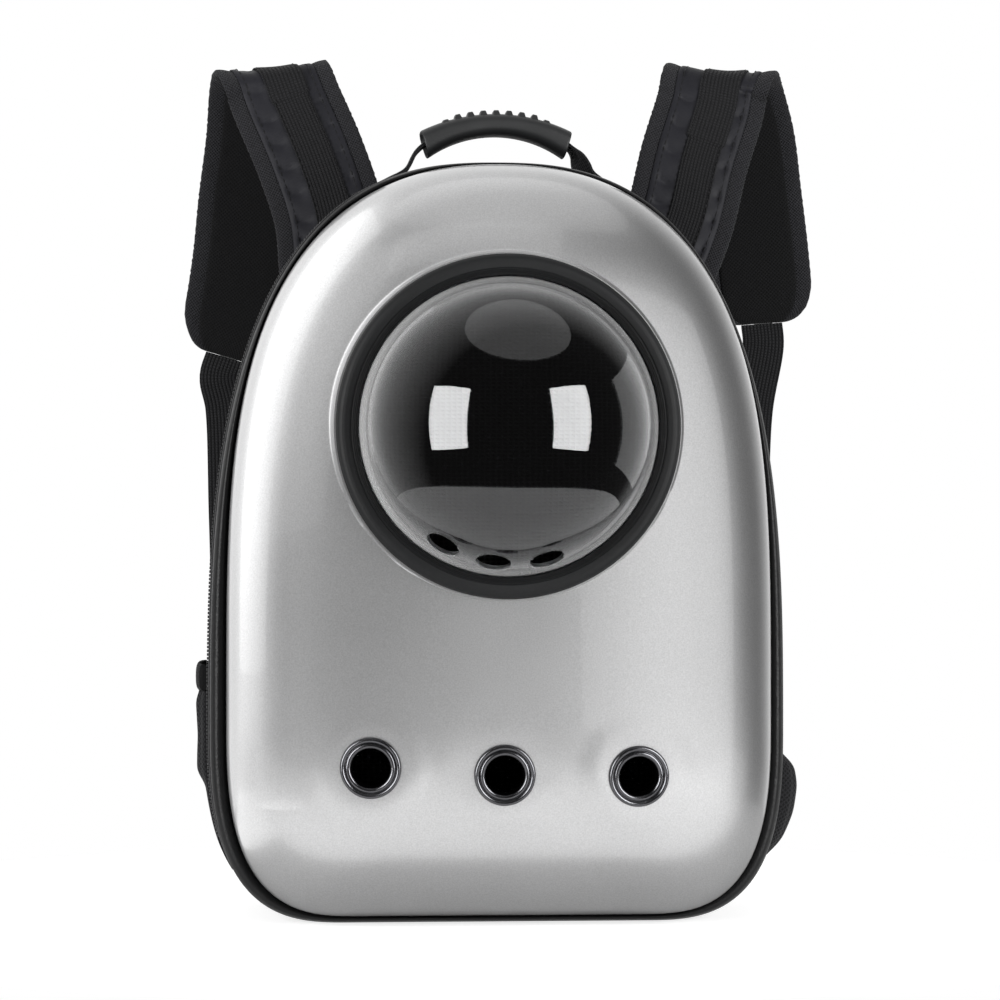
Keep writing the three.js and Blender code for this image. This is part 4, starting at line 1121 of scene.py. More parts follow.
class CARRIER_OT_band(bpy.types.Operator):
    """Build the padded dark band round the hard front and the two piping cords"""

    bl_idname = "carrier.band"
    bl_label = "Band and Piping"

    def execute(self, context):
        sizes = context.scene.carrier
        body = sizes.body
        outer = body_outline(sizes).points()
        shell = shell_outline(sizes).points()
        normals = normals_of(outer)
        across = np.linspace(0, 1, 15)
        front = np.where(
            across < 0.45,
            0.2 * ((0.45 - across) / 0.45) ** 2,
            0.26 * (np.clip(across - 0.45, 0, 1) / 0.55) ** 2.4,
        )
        depth = body.band
        lip = BAND_BACK - body.lip
        rows = [(0, SEAM_GAP, lip)]
        rows += [(0, SEAM_GAP, BAND_FRONT + depth * step) for step in (0.6, 0.3)]
        rows += [(a, SEAM_GAP * (1 - a), BAND_FRONT + depth * b) for a, b in zip(across, front)]
        for step, tuck in ((0.34, 0), (0.5, 0.0001), (0.75, 0.0001), (0.92, -0.0002), (1, -0.0009)):
            rows.append((1, tuck, BAND_FRONT + (BAND_BACK - BAND_FRONT) * step))
        rows += [(0, -body.lip_reach, BAND_BACK), (0, -body.lip_reach, lip)]
        rings = []
        run = np.linspace(0, GIRTH, AROUND, endpoint=False)
        dent = 0.00012 * waves(run, (0.033, 0.021, 0.012), 3)
        for a, out, y in rows:
            flat = shell * (1 - a) + outer * a + normals * out
            soft = np.abs(dent) if 0.1 < a < 1 else 0
            rings.append(at_depth(flat, y + soft))
        rings = np.array(rings).transpose(1, 0, 2)
        leather = grained("leatherette", sizes.colours.leatherette, 0.4, 0.0011, 0.00012).material
        band = skin("edge_band", rings, [leather], closed_rows=True, sharp=50)
        dress(band, "band_leatherette", "rim_band")
        vinyl = grained("piping vinyl", sizes.colours.piping, 0.34, 0.0008, 0.00006).material
        half = body.piping / 2
        turn = np.linspace(-0.62 * math.pi, 0.62 * math.pi, 15)
        bead = np.column_stack([body.piping_out - half + half * np.cos(turn), half + half * np.sin(turn)])
        section = np.vstack([[-body.wall, half * 0.7], bead, [-body.wall, half * 1.3]])
        for word, start in (("front", BAND_BACK + SEAM_GAP), ("rear", GUSSET_BACK + SEAM_GAP)):
            rings = swept(outer, normals, section + [0, start])
            cord = skin(f"{word}_cord", rings, [vinyl], closed_rows=True)
            dress(cord, "piping_vinyl", f"{word}_piping")
        return {"FINISHED"}


# Rounded edge of the back panel. Columns: inset from the outline, and share of the panel's depth.
PANEL_EDGE = [
    (0.0015, 0.0), (0.0003, 0.06), (0, 0.2), (0, 0.5), (0.0004, 0.68), (0.0018, 0.86), (0.004, 0.96),
]

# Insets of the rings of the panel's face, and of the seam sewn into it
PANEL_INSETS = [
    0.0065, 0.008, 0.0092, 0.0105, 0.012, 0.015, 0.02, 0.028, 0.038, 0.05, 0.065, 0.08, 0.1, 0.12, 0.14,
]
PANEL_SEAM = 0.0092


class CARRIER_OT_sides(bpy.types.Operator):
    """Build the soft side wall with its gathers and the padded back panel"""

    bl_idname = "carrier.sides"
    bl_label = "Soft Sides and Back"

    def execute(self, context):
        sizes = context.scene.carrier
        body = sizes.body
        outline = body_outline(sizes)
        points = outline.points(SIDE_STEPS)
        normals = normals_of(points)
        fade = base_fade(normals)
        run = np.linspace(0, GIRTH, SIDE_STEPS, endpoint=False)
        depth = GUSSET_BACK - GUSSET_FRONT
        columns = []
        for place in np.linspace(0, 1, 34):
            seam = min(place, 1 - place) * depth
            near = math.exp(-((seam / 0.011) ** 2)) * (1 - math.exp(-seam / 0.002))
            gather = waves(run + 0.1 * seam, (0.0155, 0.0108, 0.0231), 1 if place < 0.5 else 5)
            sag = waves(run + 0.35 * place, (0.11, 0.063), 2) * math.sin(math.pi * place)
            stand = body.bulge * 4 * place * (1 - place)
            tuck = -0.0006 * math.exp(-seam / 0.0012)
            out = stand + body.pucker * near * gather * 1.3 + 0.00045 * sag + tuck
            out = np.where(out > 0, out * fade, out)
            columns.append(at_depth(points + normals * out[:, None], GUSSET_FRONT + place * depth))
        inner = points - normals * body.wall
        columns += [at_depth(inner, GUSSET_BACK), at_depth(inner, GUSSET_FRONT)]
        rings = np.array(columns).transpose(1, 0, 2)
        cloth = woven("body polyester", sizes.colours.polyester, 0.0009, 0.00012).material
        side = skin("soft_side", rings, [cloth], closed_rows=True, sharp=60)
        dress(side, "body_fabric", "gusset")
        self.build_back(sizes, outline)
        return {"FINISHED"}

    def build_back(self, sizes, outline):
        """Padded panel with a rounded edge and one seam sewn all round it."""
        depth = PANEL_FACE - PANEL_FRONT
        rows = list(PANEL_EDGE)
        for inset in PANEL_INSETS:
            seam = 0.17 * math.exp(-(((inset - PANEL_SEAM) / 0.0013) ** 2))
            rows.append((inset, 1 - seam))
        rings = [at_depth(outline.points(inset=a), PANEL_FRONT + depth * b) for a, b in rows]
        mesh = net("back air mesh", sizes.colours.air_mesh, 0.0024, 0.0005, flat=False).material
        points, faces, uv = grid_parts(np.array(rings))
        panel = mesh_piece("padded_back", points, faces, [mesh], uv, sharp=50)
        dress(panel, "panel_mesh", "back_panel")


# Zip. The tape's section has columns: share of half its width, and share of its thickness.
TAPE_SECTION = [
    (-1, 0), (-0.98, 1), (-0.5, 1.1), (-0.22, 1.25), (0.22, 1.25), (0.5, 1.1), (0.98, 1), (1, 0),
]

# A tooth along its length, across the zip. Columns: share of the teeth's width, and share of
# the tooth's full section.
TOOTH_STEPS = [(-0.5, 0.55), (-0.38, 1), (0.2, 1), (0.34, 0.6)]


def along_run(places, run, rows):
    """Rows of values read off at the given places of a run."""
    return np.column_stack([np.interp(places, run, column) for column in rows.T])


def zip_run(sizes, lift):
    """Points, normals and run of the zipped stretch of the body's outline."""
    points = body_outline(sizes).points(2400)
    normals = normals_of(points)
    low = (points[:, 1] < sizes.trim.zip_foot) | (np.abs(normals[:, 1]) > 0.999) & (points[:, 1] < 0.01)
    keep = np.flatnonzero(~low)
    fade = base_fade(normals[keep])
    place = sizes.trim.zip_set_back / (GUSSET_BACK - GUSSET_FRONT)
    stand = sizes.body.bulge * 4 * place * (1 - place)
    points = points[keep] + normals[keep] * (fade * (stand + lift))[:, None]
    run = np.append(0, np.cumsum(np.hypot(*np.diff(points, axis=0).T)))
    return points, normals[keep], run


class CARRIER_OT_zip(bpy.types.Operator):
    """Build the zip's tape and its closed row of teeth"""

    bl_idname = "carrier.zip"
    bl_label = "Zip"

    def execute(self, context):
        sizes = context.scene.carrier
        trim = sizes.trim
        middle = GUSSET_FRONT + trim.zip_set_back
        points, normals, run = zip_run(sizes, 0.0002)
        even = np.linspace(0, run[-1], 500)
        flat, out = along_run(even, run, points), along_run(even, run, normals)
        rows = []
        for across, lift in TAPE_SECTION:
            ripple = 0.00025 * waves(even, (0.021, 0.013), across) * abs(across) ** 3
            spot = flat + out * (lift * trim.tape_thickness + ripple * (lift > 0))[:, None]
            rows.append(at_depth(spot, middle + across * trim.tape / 2))
        rings = np.array(rows).transpose(1, 0, 2)
        tape = skin("zip_tape_cloth", rings, [zip_cloth(sizes.colours)], sharp=60)
        dress(tape, "zip_tape_fabric", "zip_tape")
        self.build_teeth(sizes, points, normals, run, middle)
        return {"FINISHED"}

    def build_teeth(self, sizes, points, normals, run, middle):
        trim = sizes.trim
        count = int((run[-1] - 0.004) / trim.tooth_pitch)
        ring = rounded([[-1, 0], [1, 0], [1, 1], [-1, 1]], 0.5, 3)
        parts = []
        for number in range(count):
            at = 0.002 + number * trim.tooth_pitch
            spot = at_depth(along_run([at], run, points), middle)[0]
            out = at_depth(along_run([at], run, normals), 0)[0]
            out /= np.linalg.norm(out)
            along = np.cross(out, [0, 1, 0])
            side = (number % 2) * 2 - 1
            tooth = []
            for across, size in TOOTH_STEPS:
                base = spot + out * trim.tape_thickness * 1.1
                base = base + [0, side * (across + 0.08) * trim.teeth, 0]
                wide = along * size * trim.tooth_pitch * 0.36
                high = out * (0.6 + 0.4 * size) * trim.tooth_height
                tooth.append([base + wide * a + high * b for a, b in ring])
            parts.append(grid_parts(np.array(tooth))[:2])
        teeth = join_parts("zip_teeth", parts, [nylon_teeth(sizes.colours)], sharp=60)
        dress(teeth, "zip_coil_nylon", "zip_coil")


# Ribbons along a smooth route
def curve_points(knots, shares):
    """Centripetal spline through the knots, sampled at shares of its parameter."""
    knots = np.asarray(knots, dtype=float)
    last = len(knots) - 1
    padded = np.vstack([2 * knots[0] - knots[1], knots, 2 * knots[-1] - knots[-2]])
    place = np.clip(np.asarray(shares, dtype=float), 0, 1) * last
    index = np.minimum(place.astype(int), last - 1)
    weight = (place - index)[:, None]
    p0, p1, p2, p3 = (padded[index + step] for step in range(4))
    gaps = [np.linalg.norm(b - a, axis=1)[:, None] ** 0.5 for a, b in ((p0, p1), (p1, p2), (p2, p3))]
    d0, d1, d2 = gaps
    t1 = ((p1 - p0) / d0 - (p2 - p0) / (d0 + d1) + (p2 - p1) / d1) * d1
    t2 = ((p2 - p1) / d1 - (p3 - p1) / (d1 + d2) + (p3 - p2) / d2) * d1
    c2 = 3 * (p2 - p1) - 2 * t1 - t2
    c3 = 2 * (p1 - p2) + t1 + t2
    return p1 + t1 * weight + c2 * weight**2 + c3 * weight**3


def route_frames(knots, shares, across):
    """Points, width directions and thickness directions along a route."""
    shares = np.asarray(shares)
    points = curve_points(knots, shares)
    ahead = curve_points(knots, np.clip(shares + 1e-4, 0, 1))
    behind = curve_points(knots, np.clip(shares - 1e-4, 0, 1))
    tangent = ahead - behind
    tangent /= np.linalg.norm(tangent, axis=1)[:, None]
    across = across - tangent * np.sum(across * tangent, axis=1)[:, None]
    across /= np.linalg.norm(across, axis=1)[:, None]
    return points, across, np.cross(tangent, across), tangent


def even_shares(knots, count, first=0.0, last=1.0):
    """Shares of the parameter that are evenly spaced in length."""
    fine = np.linspace(first, last, 2000)
    steps = np.linalg.norm(np.diff(curve_points(knots, fine), axis=0), axis=1)
    run = np.append(0, np.cumsum(steps))
    return np.interp(np.linspace(0, run[-1], count), run, fine)


def placed(frames, across, through):
    """Rings of a section given by arrays of offsets, one row per frame."""
    points, side, out, _ = frames
    return points[:, None] + side[:, None] * across[..., None] + out[:, None] * through[..., None]


# Columns: out (share of the spread), back (share of the stand-off), up (share of the peak
# height), sway (share of the common lean), slip (share of how much lower the left pad hangs)
# and tilt (degrees that the width leans).
STRAP_ROUTE = [
    {"out": 0.59, "back": 0, "up": 0.7, "sway": 0.25, "slip": 0, "tilt": 8},
    {"out": 0.635, "back": 0, "up": 0.76, "sway": 0.5, "slip": 0, "tilt": 15},
    {"out": 0.683, "back": 0.1, "up": 0.82, "sway": 0.72, "slip": 0, "tilt": 18},
    {"out": 0.748, "back": 0.24, "up": 0.89, "sway": 0.68, "slip": 0, "tilt": 17},
    {"out": 0.826, "back": 0.4, "up": 0.955, "sway": 0.62, "slip": 0, "tilt": 12},
    {"out": 0.862, "back": 0.5, "up": 0.988, "sway": 0.56, "slip": 0, "tilt": 7},
    {"out": 0.9, "back": 0.68, "up": 0.993, "sway": 0.59, "slip": 0, "tilt": 3},
    {"out": 0.922, "back": 0.84, "up": 0.974, "sway": 0.65, "slip": 0, "tilt": 0},
    {"out": 0.955, "back": 0.95, "up": 0.92, "sway": 0.8, "slip": 0.1, "tilt": -4},
    {"out": 0.985, "back": 1, "up": 0.85, "sway": 0.8, "slip": 0.3, "tilt": -6},
    {"out": 1.01, "back": 1, "up": 0.78, "sway": 0.8, "slip": 0.6, "tilt": -4},
    {"out": 1.037, "back": 0.97, "up": 0.715, "sway": 0.72, "slip": 0.9, "tilt": -2},
    {"out": 1.062, "back": 0.95, "up": 0.674, "sway": 0.6, "slip": 1, "tilt": 0},
]
TAIL_ROUTE = [
    {"out": 1.04, "back": 0.88, "up": 0.59, "sway": 0.43},
    {"out": 1.015, "back": 0.68, "up": 0.45, "sway": 0.35},
    {"out": 0.96, "back": 0.36, "up": 0.27, "sway": 0.1},
    {"out": 0.9, "back": 0.08, "up": 0.165, "sway": 0},
    {"out": 0.875, "back": 0.003, "up": 0.125, "sway": 0},
    {"out": 0.85, "back": 0, "up": 0.085, "sway": 0},
]


# Stitches along a strap, and bar-tacks across its webbing
STITCH_PITCH = 0.0042
STITCH_LENGTH = 0.0031
TACK_PLACES = (0.012, 0.17)
TACK_THREADS = 26


def route_knots(sizes, rows, side, seat):
    straps = sizes.straps
    spread = sizes.body.width / 2 - straps.inset
    peak = sizes.body.height + straps.rise
    return np.array([
        [
            side * row["out"] * spread + row["sway"] * straps.sway,
            PANEL_FACE + seat + row["back"] * straps.stand_off,
            row["up"] * peak + side * row.get("slip", 0) * straps.slip,
        ]
        for row in rows
    ])


def strap_frames(sizes, side, shares):
    straps = sizes.straps
    seat = CURVED_GAP + straps.webbing_thickness + SEAM_GAP + straps.thickness / 2
    knots = route_knots(sizes, STRAP_ROUTE, side, seat)
    tilts = [row["tilt"] for row in STRAP_ROUTE]
    places = shares * (len(tilts) - 1)
    tilt = np.radians(-side * np.interp(places, range(len(tilts)), tilts))
    across = np.column_stack([np.cos(tilt), np.zeros(len(tilt)), np.sin(tilt)])
    return route_frames(knots, shares, across)


def strap_shares(sizes, side, count):
    """Shares evenly spaced along the strap and closer together in its rounded end."""
    straps = sizes.straps
    knots = route_knots(sizes, STRAP_ROUTE, side, 0)
    even = even_shares(knots, count, 0, straps.end_start)
    turn = np.linspace(0, math.pi / 2, 14)[1:]
    return np.append(even, straps.end_start + (1 - straps.end_start) * np.sin(turn))


def pad_width(straps, shares):
    along = np.clip((shares - straps.end_start) / (1 - straps.end_start), 0, 1)
    return straps.end_width + (1 - straps.end_width) * np.sqrt(1 - along**2)


def run_of(frames):
    return np.append(0, np.cumsum(np.linalg.norm(np.diff(frames[0], axis=0), axis=1)))


class Strap:
    """One strap's route with its width and its thinning along it."""

    def __init__(self, sizes, side, word):
        self.all_sizes, self.sizes = sizes, sizes.straps
        self.side, self.word = side, word
        shares = strap_shares(sizes, side, 190)
        self.frames = strap_frames(sizes, side, shares)
        self.width = pad_width(self.sizes, shares)
        self.run = run_of(self.frames)
        sewn = 0.4 + 0.6 * smooth(0, 0.014, self.run)
        tip = 0.45 + 0.55 * smooth(0, 0.02, self.run[-1] - self.run)
        self.taper = np.minimum(sewn, tip)

    def spot(self, at, across, through):
        """Point at a length along the strap, and the direction towards its inner face."""
        point, side, out, _ = (along_run([at], self.run, part)[0] for part in self.frames)
        return point + side * across * np.interp(at, self.run, self.width) + out * through, out


class CARRIER_OT_straps(bpy.types.Operator):
    """Build the padded shoulder straps with bindings, webbing, stitching and plain tails"""

    bl_idname = "carrier.straps"
    bl_label = "Shoulder Straps"

    def execute(self, context):
        sizes = context.scene.carrier
        colours = sizes.colours
        nylon = woven("strap nylon", colours.nylon, 0.0007, 0.00005, 0.55, gloss=0.2).material
        lining = net("strap lining", colours.lining, 0.0016, 0.0002).material
        binding = net("strap binding mesh", colours.binding, 0.0014, 0.0004, sheen=0.06).material
        webbing = ribbed_webbing(colours)
        yarn = thread(colours)
        for side, word in ((-1, "left"), (1, "right")):
            strap = Strap(sizes, side, word)
            self.build_pad(strap, [nylon, lining])
            for edge, end in ((-side, "inner"), (side, "outer")):
                self.build_binding(strap, end, edge, binding)
            self.build_webbing(strap, webbing)
            self.build_stitches(strap, yarn)
            self.build_tail(strap, webbing)
        return {"FINISHED"}

    def face_dent(self, straps, across, run, seed):
        """How far the pad's outer face dips beside the webbing and the bindings."""
        middle = straps.webbing_shift
        beside = np.abs(across - middle) - straps.webbing / 2
        room = np.minimum(beside, straps.width / 2 - straps.binding - np.abs(across))
        free = smooth(0.0, 0.003, room)
        bow = 0.004 * np.cos((np.abs(across - middle) - 0.016) / 0.008 * math.pi / 2)
        slant = run[:, None] + bow + 0.002 * waves(run, (0.061, 0.037), seed)[:, None]
        puff = np.abs(np.sin(slant * math.pi / straps.puff + seed)) ** 0.5
        return (puff - 1) * straps.pucker * free

    def build_pad(self, strap, materials):
        straps, run = strap.sizes, strap.run
        count = 25
        ease = -np.cos(np.linspace(0, 1, count) * math.pi)
        flat = np.sign(ease) * np.abs(ease) ** 0.9
        flat = np.append(flat, flat[::-1])
        top = flat * (straps.width / 2 - straps.binding + 0.0022)
        sign = np.repeat([-1, 1], count)
        limit = straps.thickness / 2
        thick = limit * (0.62 + 0.38 * (1 - np.abs(flat) ** 6) ** 0.5)
        through = sign * thick * strap.taper[:, None]
        dent = self.face_dent(straps, np.tile(top, (len(run), 1)), run, strap.side + 2)
        through = np.where(sign < 0, through - dent, through + 0.2 * dent)
        through = np.clip(through, -limit, limit)
        rings = placed(strap.frames, top * strap.width[:, None], through)
        slots = np.repeat([0, 1], count)
        pad = skin(f"strap_pad_{strap.word}", rings, materials, slots=slots, caps="strip", sharp=60)
        dress(pad, "strap_nylon", f"shoulder_strap_{strap.word}")

    def build_binding(self, strap, end, edge, material):
        straps, run = strap.sizes, strap.run
        inner = straps.width / 2 - straps.binding + SEAM_GAP * 2
        outer = straps.width / 2
        turn = np.linspace(0, 2 * math.pi, 21)[:-1]
        centre, reach = (inner + outer) / 2, (outer - inner) / 2
        u, v = np.cos(turn), np.sin(turn)
        across = centre + reach * np.sign(u) * np.abs(u) ** 0.75
        through = np.sign(v) * np.abs(v) ** 0.7 * straps.binding_thickness / 2
        gather = waves(run, (0.0068, 0.0047, 0.0101), edge + 4)[:, None]
        near = np.clip(1 - (across - inner) / 0.006, 0, 1)
        through = through * (1 + 0.12 * gather * near) - np.sign(v) * 0.00035 * near
        frayed = 0.00028 * waves(run, (0.0052, 0.0031), edge + 1)[:, None] * np.clip(u, 0, 1)
        across = edge * (across + frayed - 0.0003) * strap.width[:, None]
        rings = placed(strap.frames, across, through * np.minimum(1, strap.taper + 0.15)[:, None])
        piece = skin(f"strap_edge_{strap.word}_{end}", rings, [material], sharp=70)
        dress(piece, "strap_binding", f"strap_binding_{strap.word}_{end}")

    def build_webbing(self, strap, material):
        """The webbing's second layer starts at its lap, and the first is thinner and narrower."""
        straps, run, heights = strap.sizes, strap.run, strap.frames[0][:, 2]
        flat, level = band_section(0, 1, 0.35)
        base = straps.thickness / 2 * np.maximum(strap.taper, 0.4) + SEAM_GAP
        lift = base + np.abs(0.00018 * waves(run, (0.023, 0.041), 6))
        lap = (straps.left_lap if strap.side < 0 else straps.right_lap) * heights.max()
        start = run[np.argmax(heights > lap)]
        layers = 0.5 + 0.5 * smooth(start - 0.0011, start, run)
        half = straps.webbing / 2 * (0.8 + 0.2 * layers)
        across = (straps.webbing_shift + flat * half[:, None]) * strap.width[:, None]
        through = -(lift[:, None] + level * straps.webbing_thickness * layers[:, None])
        rings = placed(strap.frames, across, through)
        piece = skin(f"strap_webbing_band_{strap.word}", rings, [material], caps="strip", sharp=60)
        dress(piece, "webbing", f"strap_webbing_{strap.word}")

    def build_stitches(self, strap, material):
        """Rows of thread beside the bindings and on the webbing, with a bar-tack over it."""
        straps, run = strap.sizes, strap.run
        edge = straps.webbing / 2 - 0.0016
        inner = straps.width / 2 - straps.binding - 0.0012
        face = -(straps.thickness / 2 + SEAM_GAP + straps.webbing_thickness)
        rows = [(straps.webbing_shift - edge, face), (straps.webbing_shift + edge, face)]
        rows += [(place * inner, -(straps.thickness / 2) * 0.93) for place in (-1, 1)]
        parts = []
        for across, through in rows:
            for start in np.arange(0.006, run[-1] - 0.024, STITCH_PITCH):
                spots = [
                    strap.spot(at, across, through * np.interp(at, run, strap.taper))
                    for at in np.linspace(start, start + STITCH_LENGTH, 4)
                ]
                parts.append(self.strand(spots, 0.00032))
        for centre in TACK_PLACES:
            level = face * np.interp(centre, run, strap.taper) - 0.0001
            for number in range(TACK_THREADS):
                across = straps.webbing_shift + edge * 1.02 * (2 * number / (TACK_THREADS - 1) - 1)
                slant = 0.0017 if number % 2 else -0.0017
                ends = [
                    strap.spot(centre + slant, across, level),
                    strap.spot(centre - slant, across + 0.0005, level),
                ]
                parts.append(self.strand(ends, 0.0003))
        stitches = join_parts(f"strap_stitching_{strap.word}", parts, [material], sharp=70)
        dress(stitches, "strap_binding")

    def strand(self, spots, radius):
        """A short thread that dips into the cloth at both ends."""
        points = np.array([spot[0] for spot in spots])
        out = -spots[0][1]
        along = points[-1] - points[0]
        along /= np.linalg.norm(along)
        side = np.cross(along, out)
        dip = -np.abs(np.linspace(-1, 1, len(points))) ** 2 * radius * 1.2
        ring = [(math.cos(t), math.sin(t)) for t in np.linspace(0, 2 * math.pi, 6)[:-1]]
        rings = [
            [point + out * (low + b * radius) + side * a * radius for a, b in ring]
            for point, low in zip(points, dip)
        ]
        return grid_parts(np.array(rings))[:2]

    def build_tail(self, strap, material):
        sizes, straps, side = strap.all_sizes, strap.sizes, strap.side
        points, _, _, tangents = strap_frames(sizes, side, np.array([1.0]))
        seat = CURVED_GAP + straps.tail_thickness / 2
        lead = points + tangents * [[SEAM_GAP], [straps.tail / 2]]
        knots = np.vstack([lead, route_knots(sizes, TAIL_ROUTE, side, seat)])
        shares = even_shares(knots, 120)
        frames = route_frames(knots, shares, np.tile([1.0, 0, 0], (len(shares), 1)))
        run = run_of(frames)
        flat, level = band_section(-1, 1, 0.4)
        curl = 0.0004 * waves(run, (0.09, 0.13), side + 3) * smooth(0.0, 0.05, run[-1] - run)
        through = level * straps.tail_thickness / 2 + curl[:, None] * flat**2
        rings = placed(frames, np.tile(flat * straps.tail / 2, (len(run), 1)), through)
        piece = skin(f"tail_band_{strap.word}", rings, [material], caps="strip", sharp=60)
        dress(piece, "webbing", f"tail_webbing_{strap.word}")


# Handle
class HandleArc:
    """The handle's arc over the soft body, in the plane across the carrier."""

    def __init__(self, sizes):
        handle = sizes.handle
        self.handle = handle
        self.outline = body_outline(sizes)
        self.radius = (handle.reach**2 / 4 + handle.sag**2) / (2 * handle.sag)
        self.y = GUSSET_FRONT + handle.set_back
        place = handle.set_back / (GUSSET_BACK - GUSSET_FRONT)
        self.stand = sizes.body.bulge * 4 * place * (1 - place)
        self.top = sizes.body.height + self.stand + handle.lift
        self.end_turn = math.asin(handle.reach / 2 / self.radius)

    def point(self, turn, lift, lean):
        x = self.radius * np.sin(turn) + lift * np.sin(turn * lean)
        z = self.top + self.radius * (np.cos(turn) - 1) + lift * np.cos(turn * lean)
        return np.stack(np.broadcast_arrays(x + self.handle.shift, self.y, z), axis=-1)

    def seat(self, distance):
        """Resting place of the webbing on the soft body."""
        lift = self.stand + CURVED_GAP + self.handle.thickness / 2
        step = 0.001
        x = distance + self.handle.shift
        height = float(self.outline.height(x))
        slope = (float(self.outline.height(x + step)) - height) / step
        run = math.hypot(1, slope)
        return np.array([x - slope / run * lift, self.y, height + lift / run])

    def side(self, sign):
        handle = self.handle
        end = handle.reach / 2
        clearance = self.point(sign * self.end_turn, 0, 1)[2] - self.seat(sign * end)[2]
        made = []
        for out, lift in ((0.24, 0.74), (0.52, 0.17), (1, 0)):
            place = self.seat(sign * (end + out * handle.leg))
            made.append(place + [0, 0, lift * clearance])
        return made + [self.seat(sign * (end + handle.leg + handle.foot))]


# Lip and hollow at each end of the grip. Columns: share of the section, and distance outwards.
GRIP_LIP = [(0.985, 0.0007), (0.94, 0.001), (0.88, 0.0006), (0.8, -0.0012), (0.6, -0.0022)]


class CARRIER_OT_handle(bpy.types.Operator):
    """Build the handle's webbing and its ribbed rubber grip"""

    bl_idname = "carrier.handle"
    bl_label = "Top Handle"

    def execute(self, context):
        sizes = context.scene.carrier
        arc = HandleArc(sizes)
        self.build_webbing(sizes, arc)
        self.build_grip(sizes, arc)
        return {"FINISHED"}

    def build_webbing(self, sizes, arc):
        handle = sizes.handle
        middle = [arc.point(share * arc.end_turn, 0, 1) for share in np.linspace(-1, 1, 9)]
        knots = np.array([*arc.side(-1)[::-1], *middle, *arc.side(1)])
        count = 150
        shares = even_shares(knots, count)
        x = curve_points(knots, shares)[:, 0] - handle.shift
        twist = np.radians(20) * smooth(0.042, 0.05, x) * smooth(0.066, 0.056, x)
        across = np.column_stack([-np.sin(twist), np.cos(twist), np.zeros(len(twist))])
        frames = route_frames(knots, shares, across)
        flat, level = band_section(-1, 1, 0.4)
        across = np.tile(flat * handle.webbing / 2, (count, 1))
        through = np.tile(level * handle.thickness / 2, (count, 1))
        webbing = ribbed_webbing(sizes.colours, "handle webbing", 0.0025)
        piece = skin("handle_band", placed(frames, across, through), [webbing], caps="strip", sharp=60)
        dress(piece, "webbing", "handle_webbing")

    def build_grip(self, sizes, arc):
        """The grip's skin rises over each rib, and its ends have a hollow lip."""
        handle = sizes.handle
        half = handle.webbing / 2 + handle.side_wall
        thickness = handle.thickness + 2 * handle.cover
        shares = np.linspace(-1, 1, 321)
        turn = np.linspace(0, 2 * math.pi, 73)[:-1]
        u, v = np.cos(turn), np.sin(turn)
        across = np.sign(u) * np.abs(u) ** 0.75
        up = np.sign(v) * np.abs(v) ** 0.62
        thick = thickness + handle.end_growth * shares**2
        lift = up[None] * thick[:, None] / 2
        run = shares * arc.end_turn * arc.radius
        last = (handle.ribs - 1) / 2
        rib = np.zeros(len(run))
        for number in range(handle.ribs):
            place = number - last
            height = handle.rib_height * (0.45 if abs(place) == last else 1)
            edge = handle.rib_length / 2 - np.abs(run - place * handle.rib_pitch)
            rib = np.maximum(rib, height * smooth(-0.0005, 0.0007, edge))
        wide = smooth(-0.0006, 0.0008, handle.rib_width / 2 - np.abs(across) * half)
        lift = lift + rib[:, None] * (wide * (up > 0.2))[None]
        rings = []
        for place, ring_lift in zip(shares, lift):
            ring = arc.point(place * arc.end_turn, ring_lift, handle.end_lean)
            rings.append(ring + np.outer(across * half, [0, 1, 0]))
        rings = self.hollow_ends(np.array(rings))
        piece = skin("ribbed_grip", rings, [grip_rubber(sizes.colours)], sharp=60)
        dress(piece, "grip_rubber", "handle_grip")

    def hollow_ends(self, rings):
        """Adds a rounded lip and a shallow hollow at each end."""
        made = [rings]
        for end, before in ((0, 2), (-1, -3)):
            ring = rings[end]
            outward = (ring - rings[before]).mean(axis=0)
            outward /= np.linalg.norm(outward)
            centre = ring.mean(axis=0)
            extra = [centre + (ring - centre) * size + outward * push for size, push in GRIP_LIP]
            made = [np.array(extra[::-1]), *made] if end == 0 else [*made, np.array(extra)]
        return np.concatenate(made)


# Side pockets. Columns: up (share of the pocket's height) and bulge (share of the greatest one).
LEFT_POCKET = [
    (0, 0.01), (0.32, 0.01), (0.46, 0.03), (0.54, 0.28), (0.74, 0.2), (0.94, 0.26), (1, 0.12),
]
RIGHT_POCKET = [
    (0, 0.05), (0.06, 0.45), (0.18, 0.84), (0.32, 1), (0.46, 1), (0.56, 0.84), (0.66, 0.15), (1, 0.03),
]


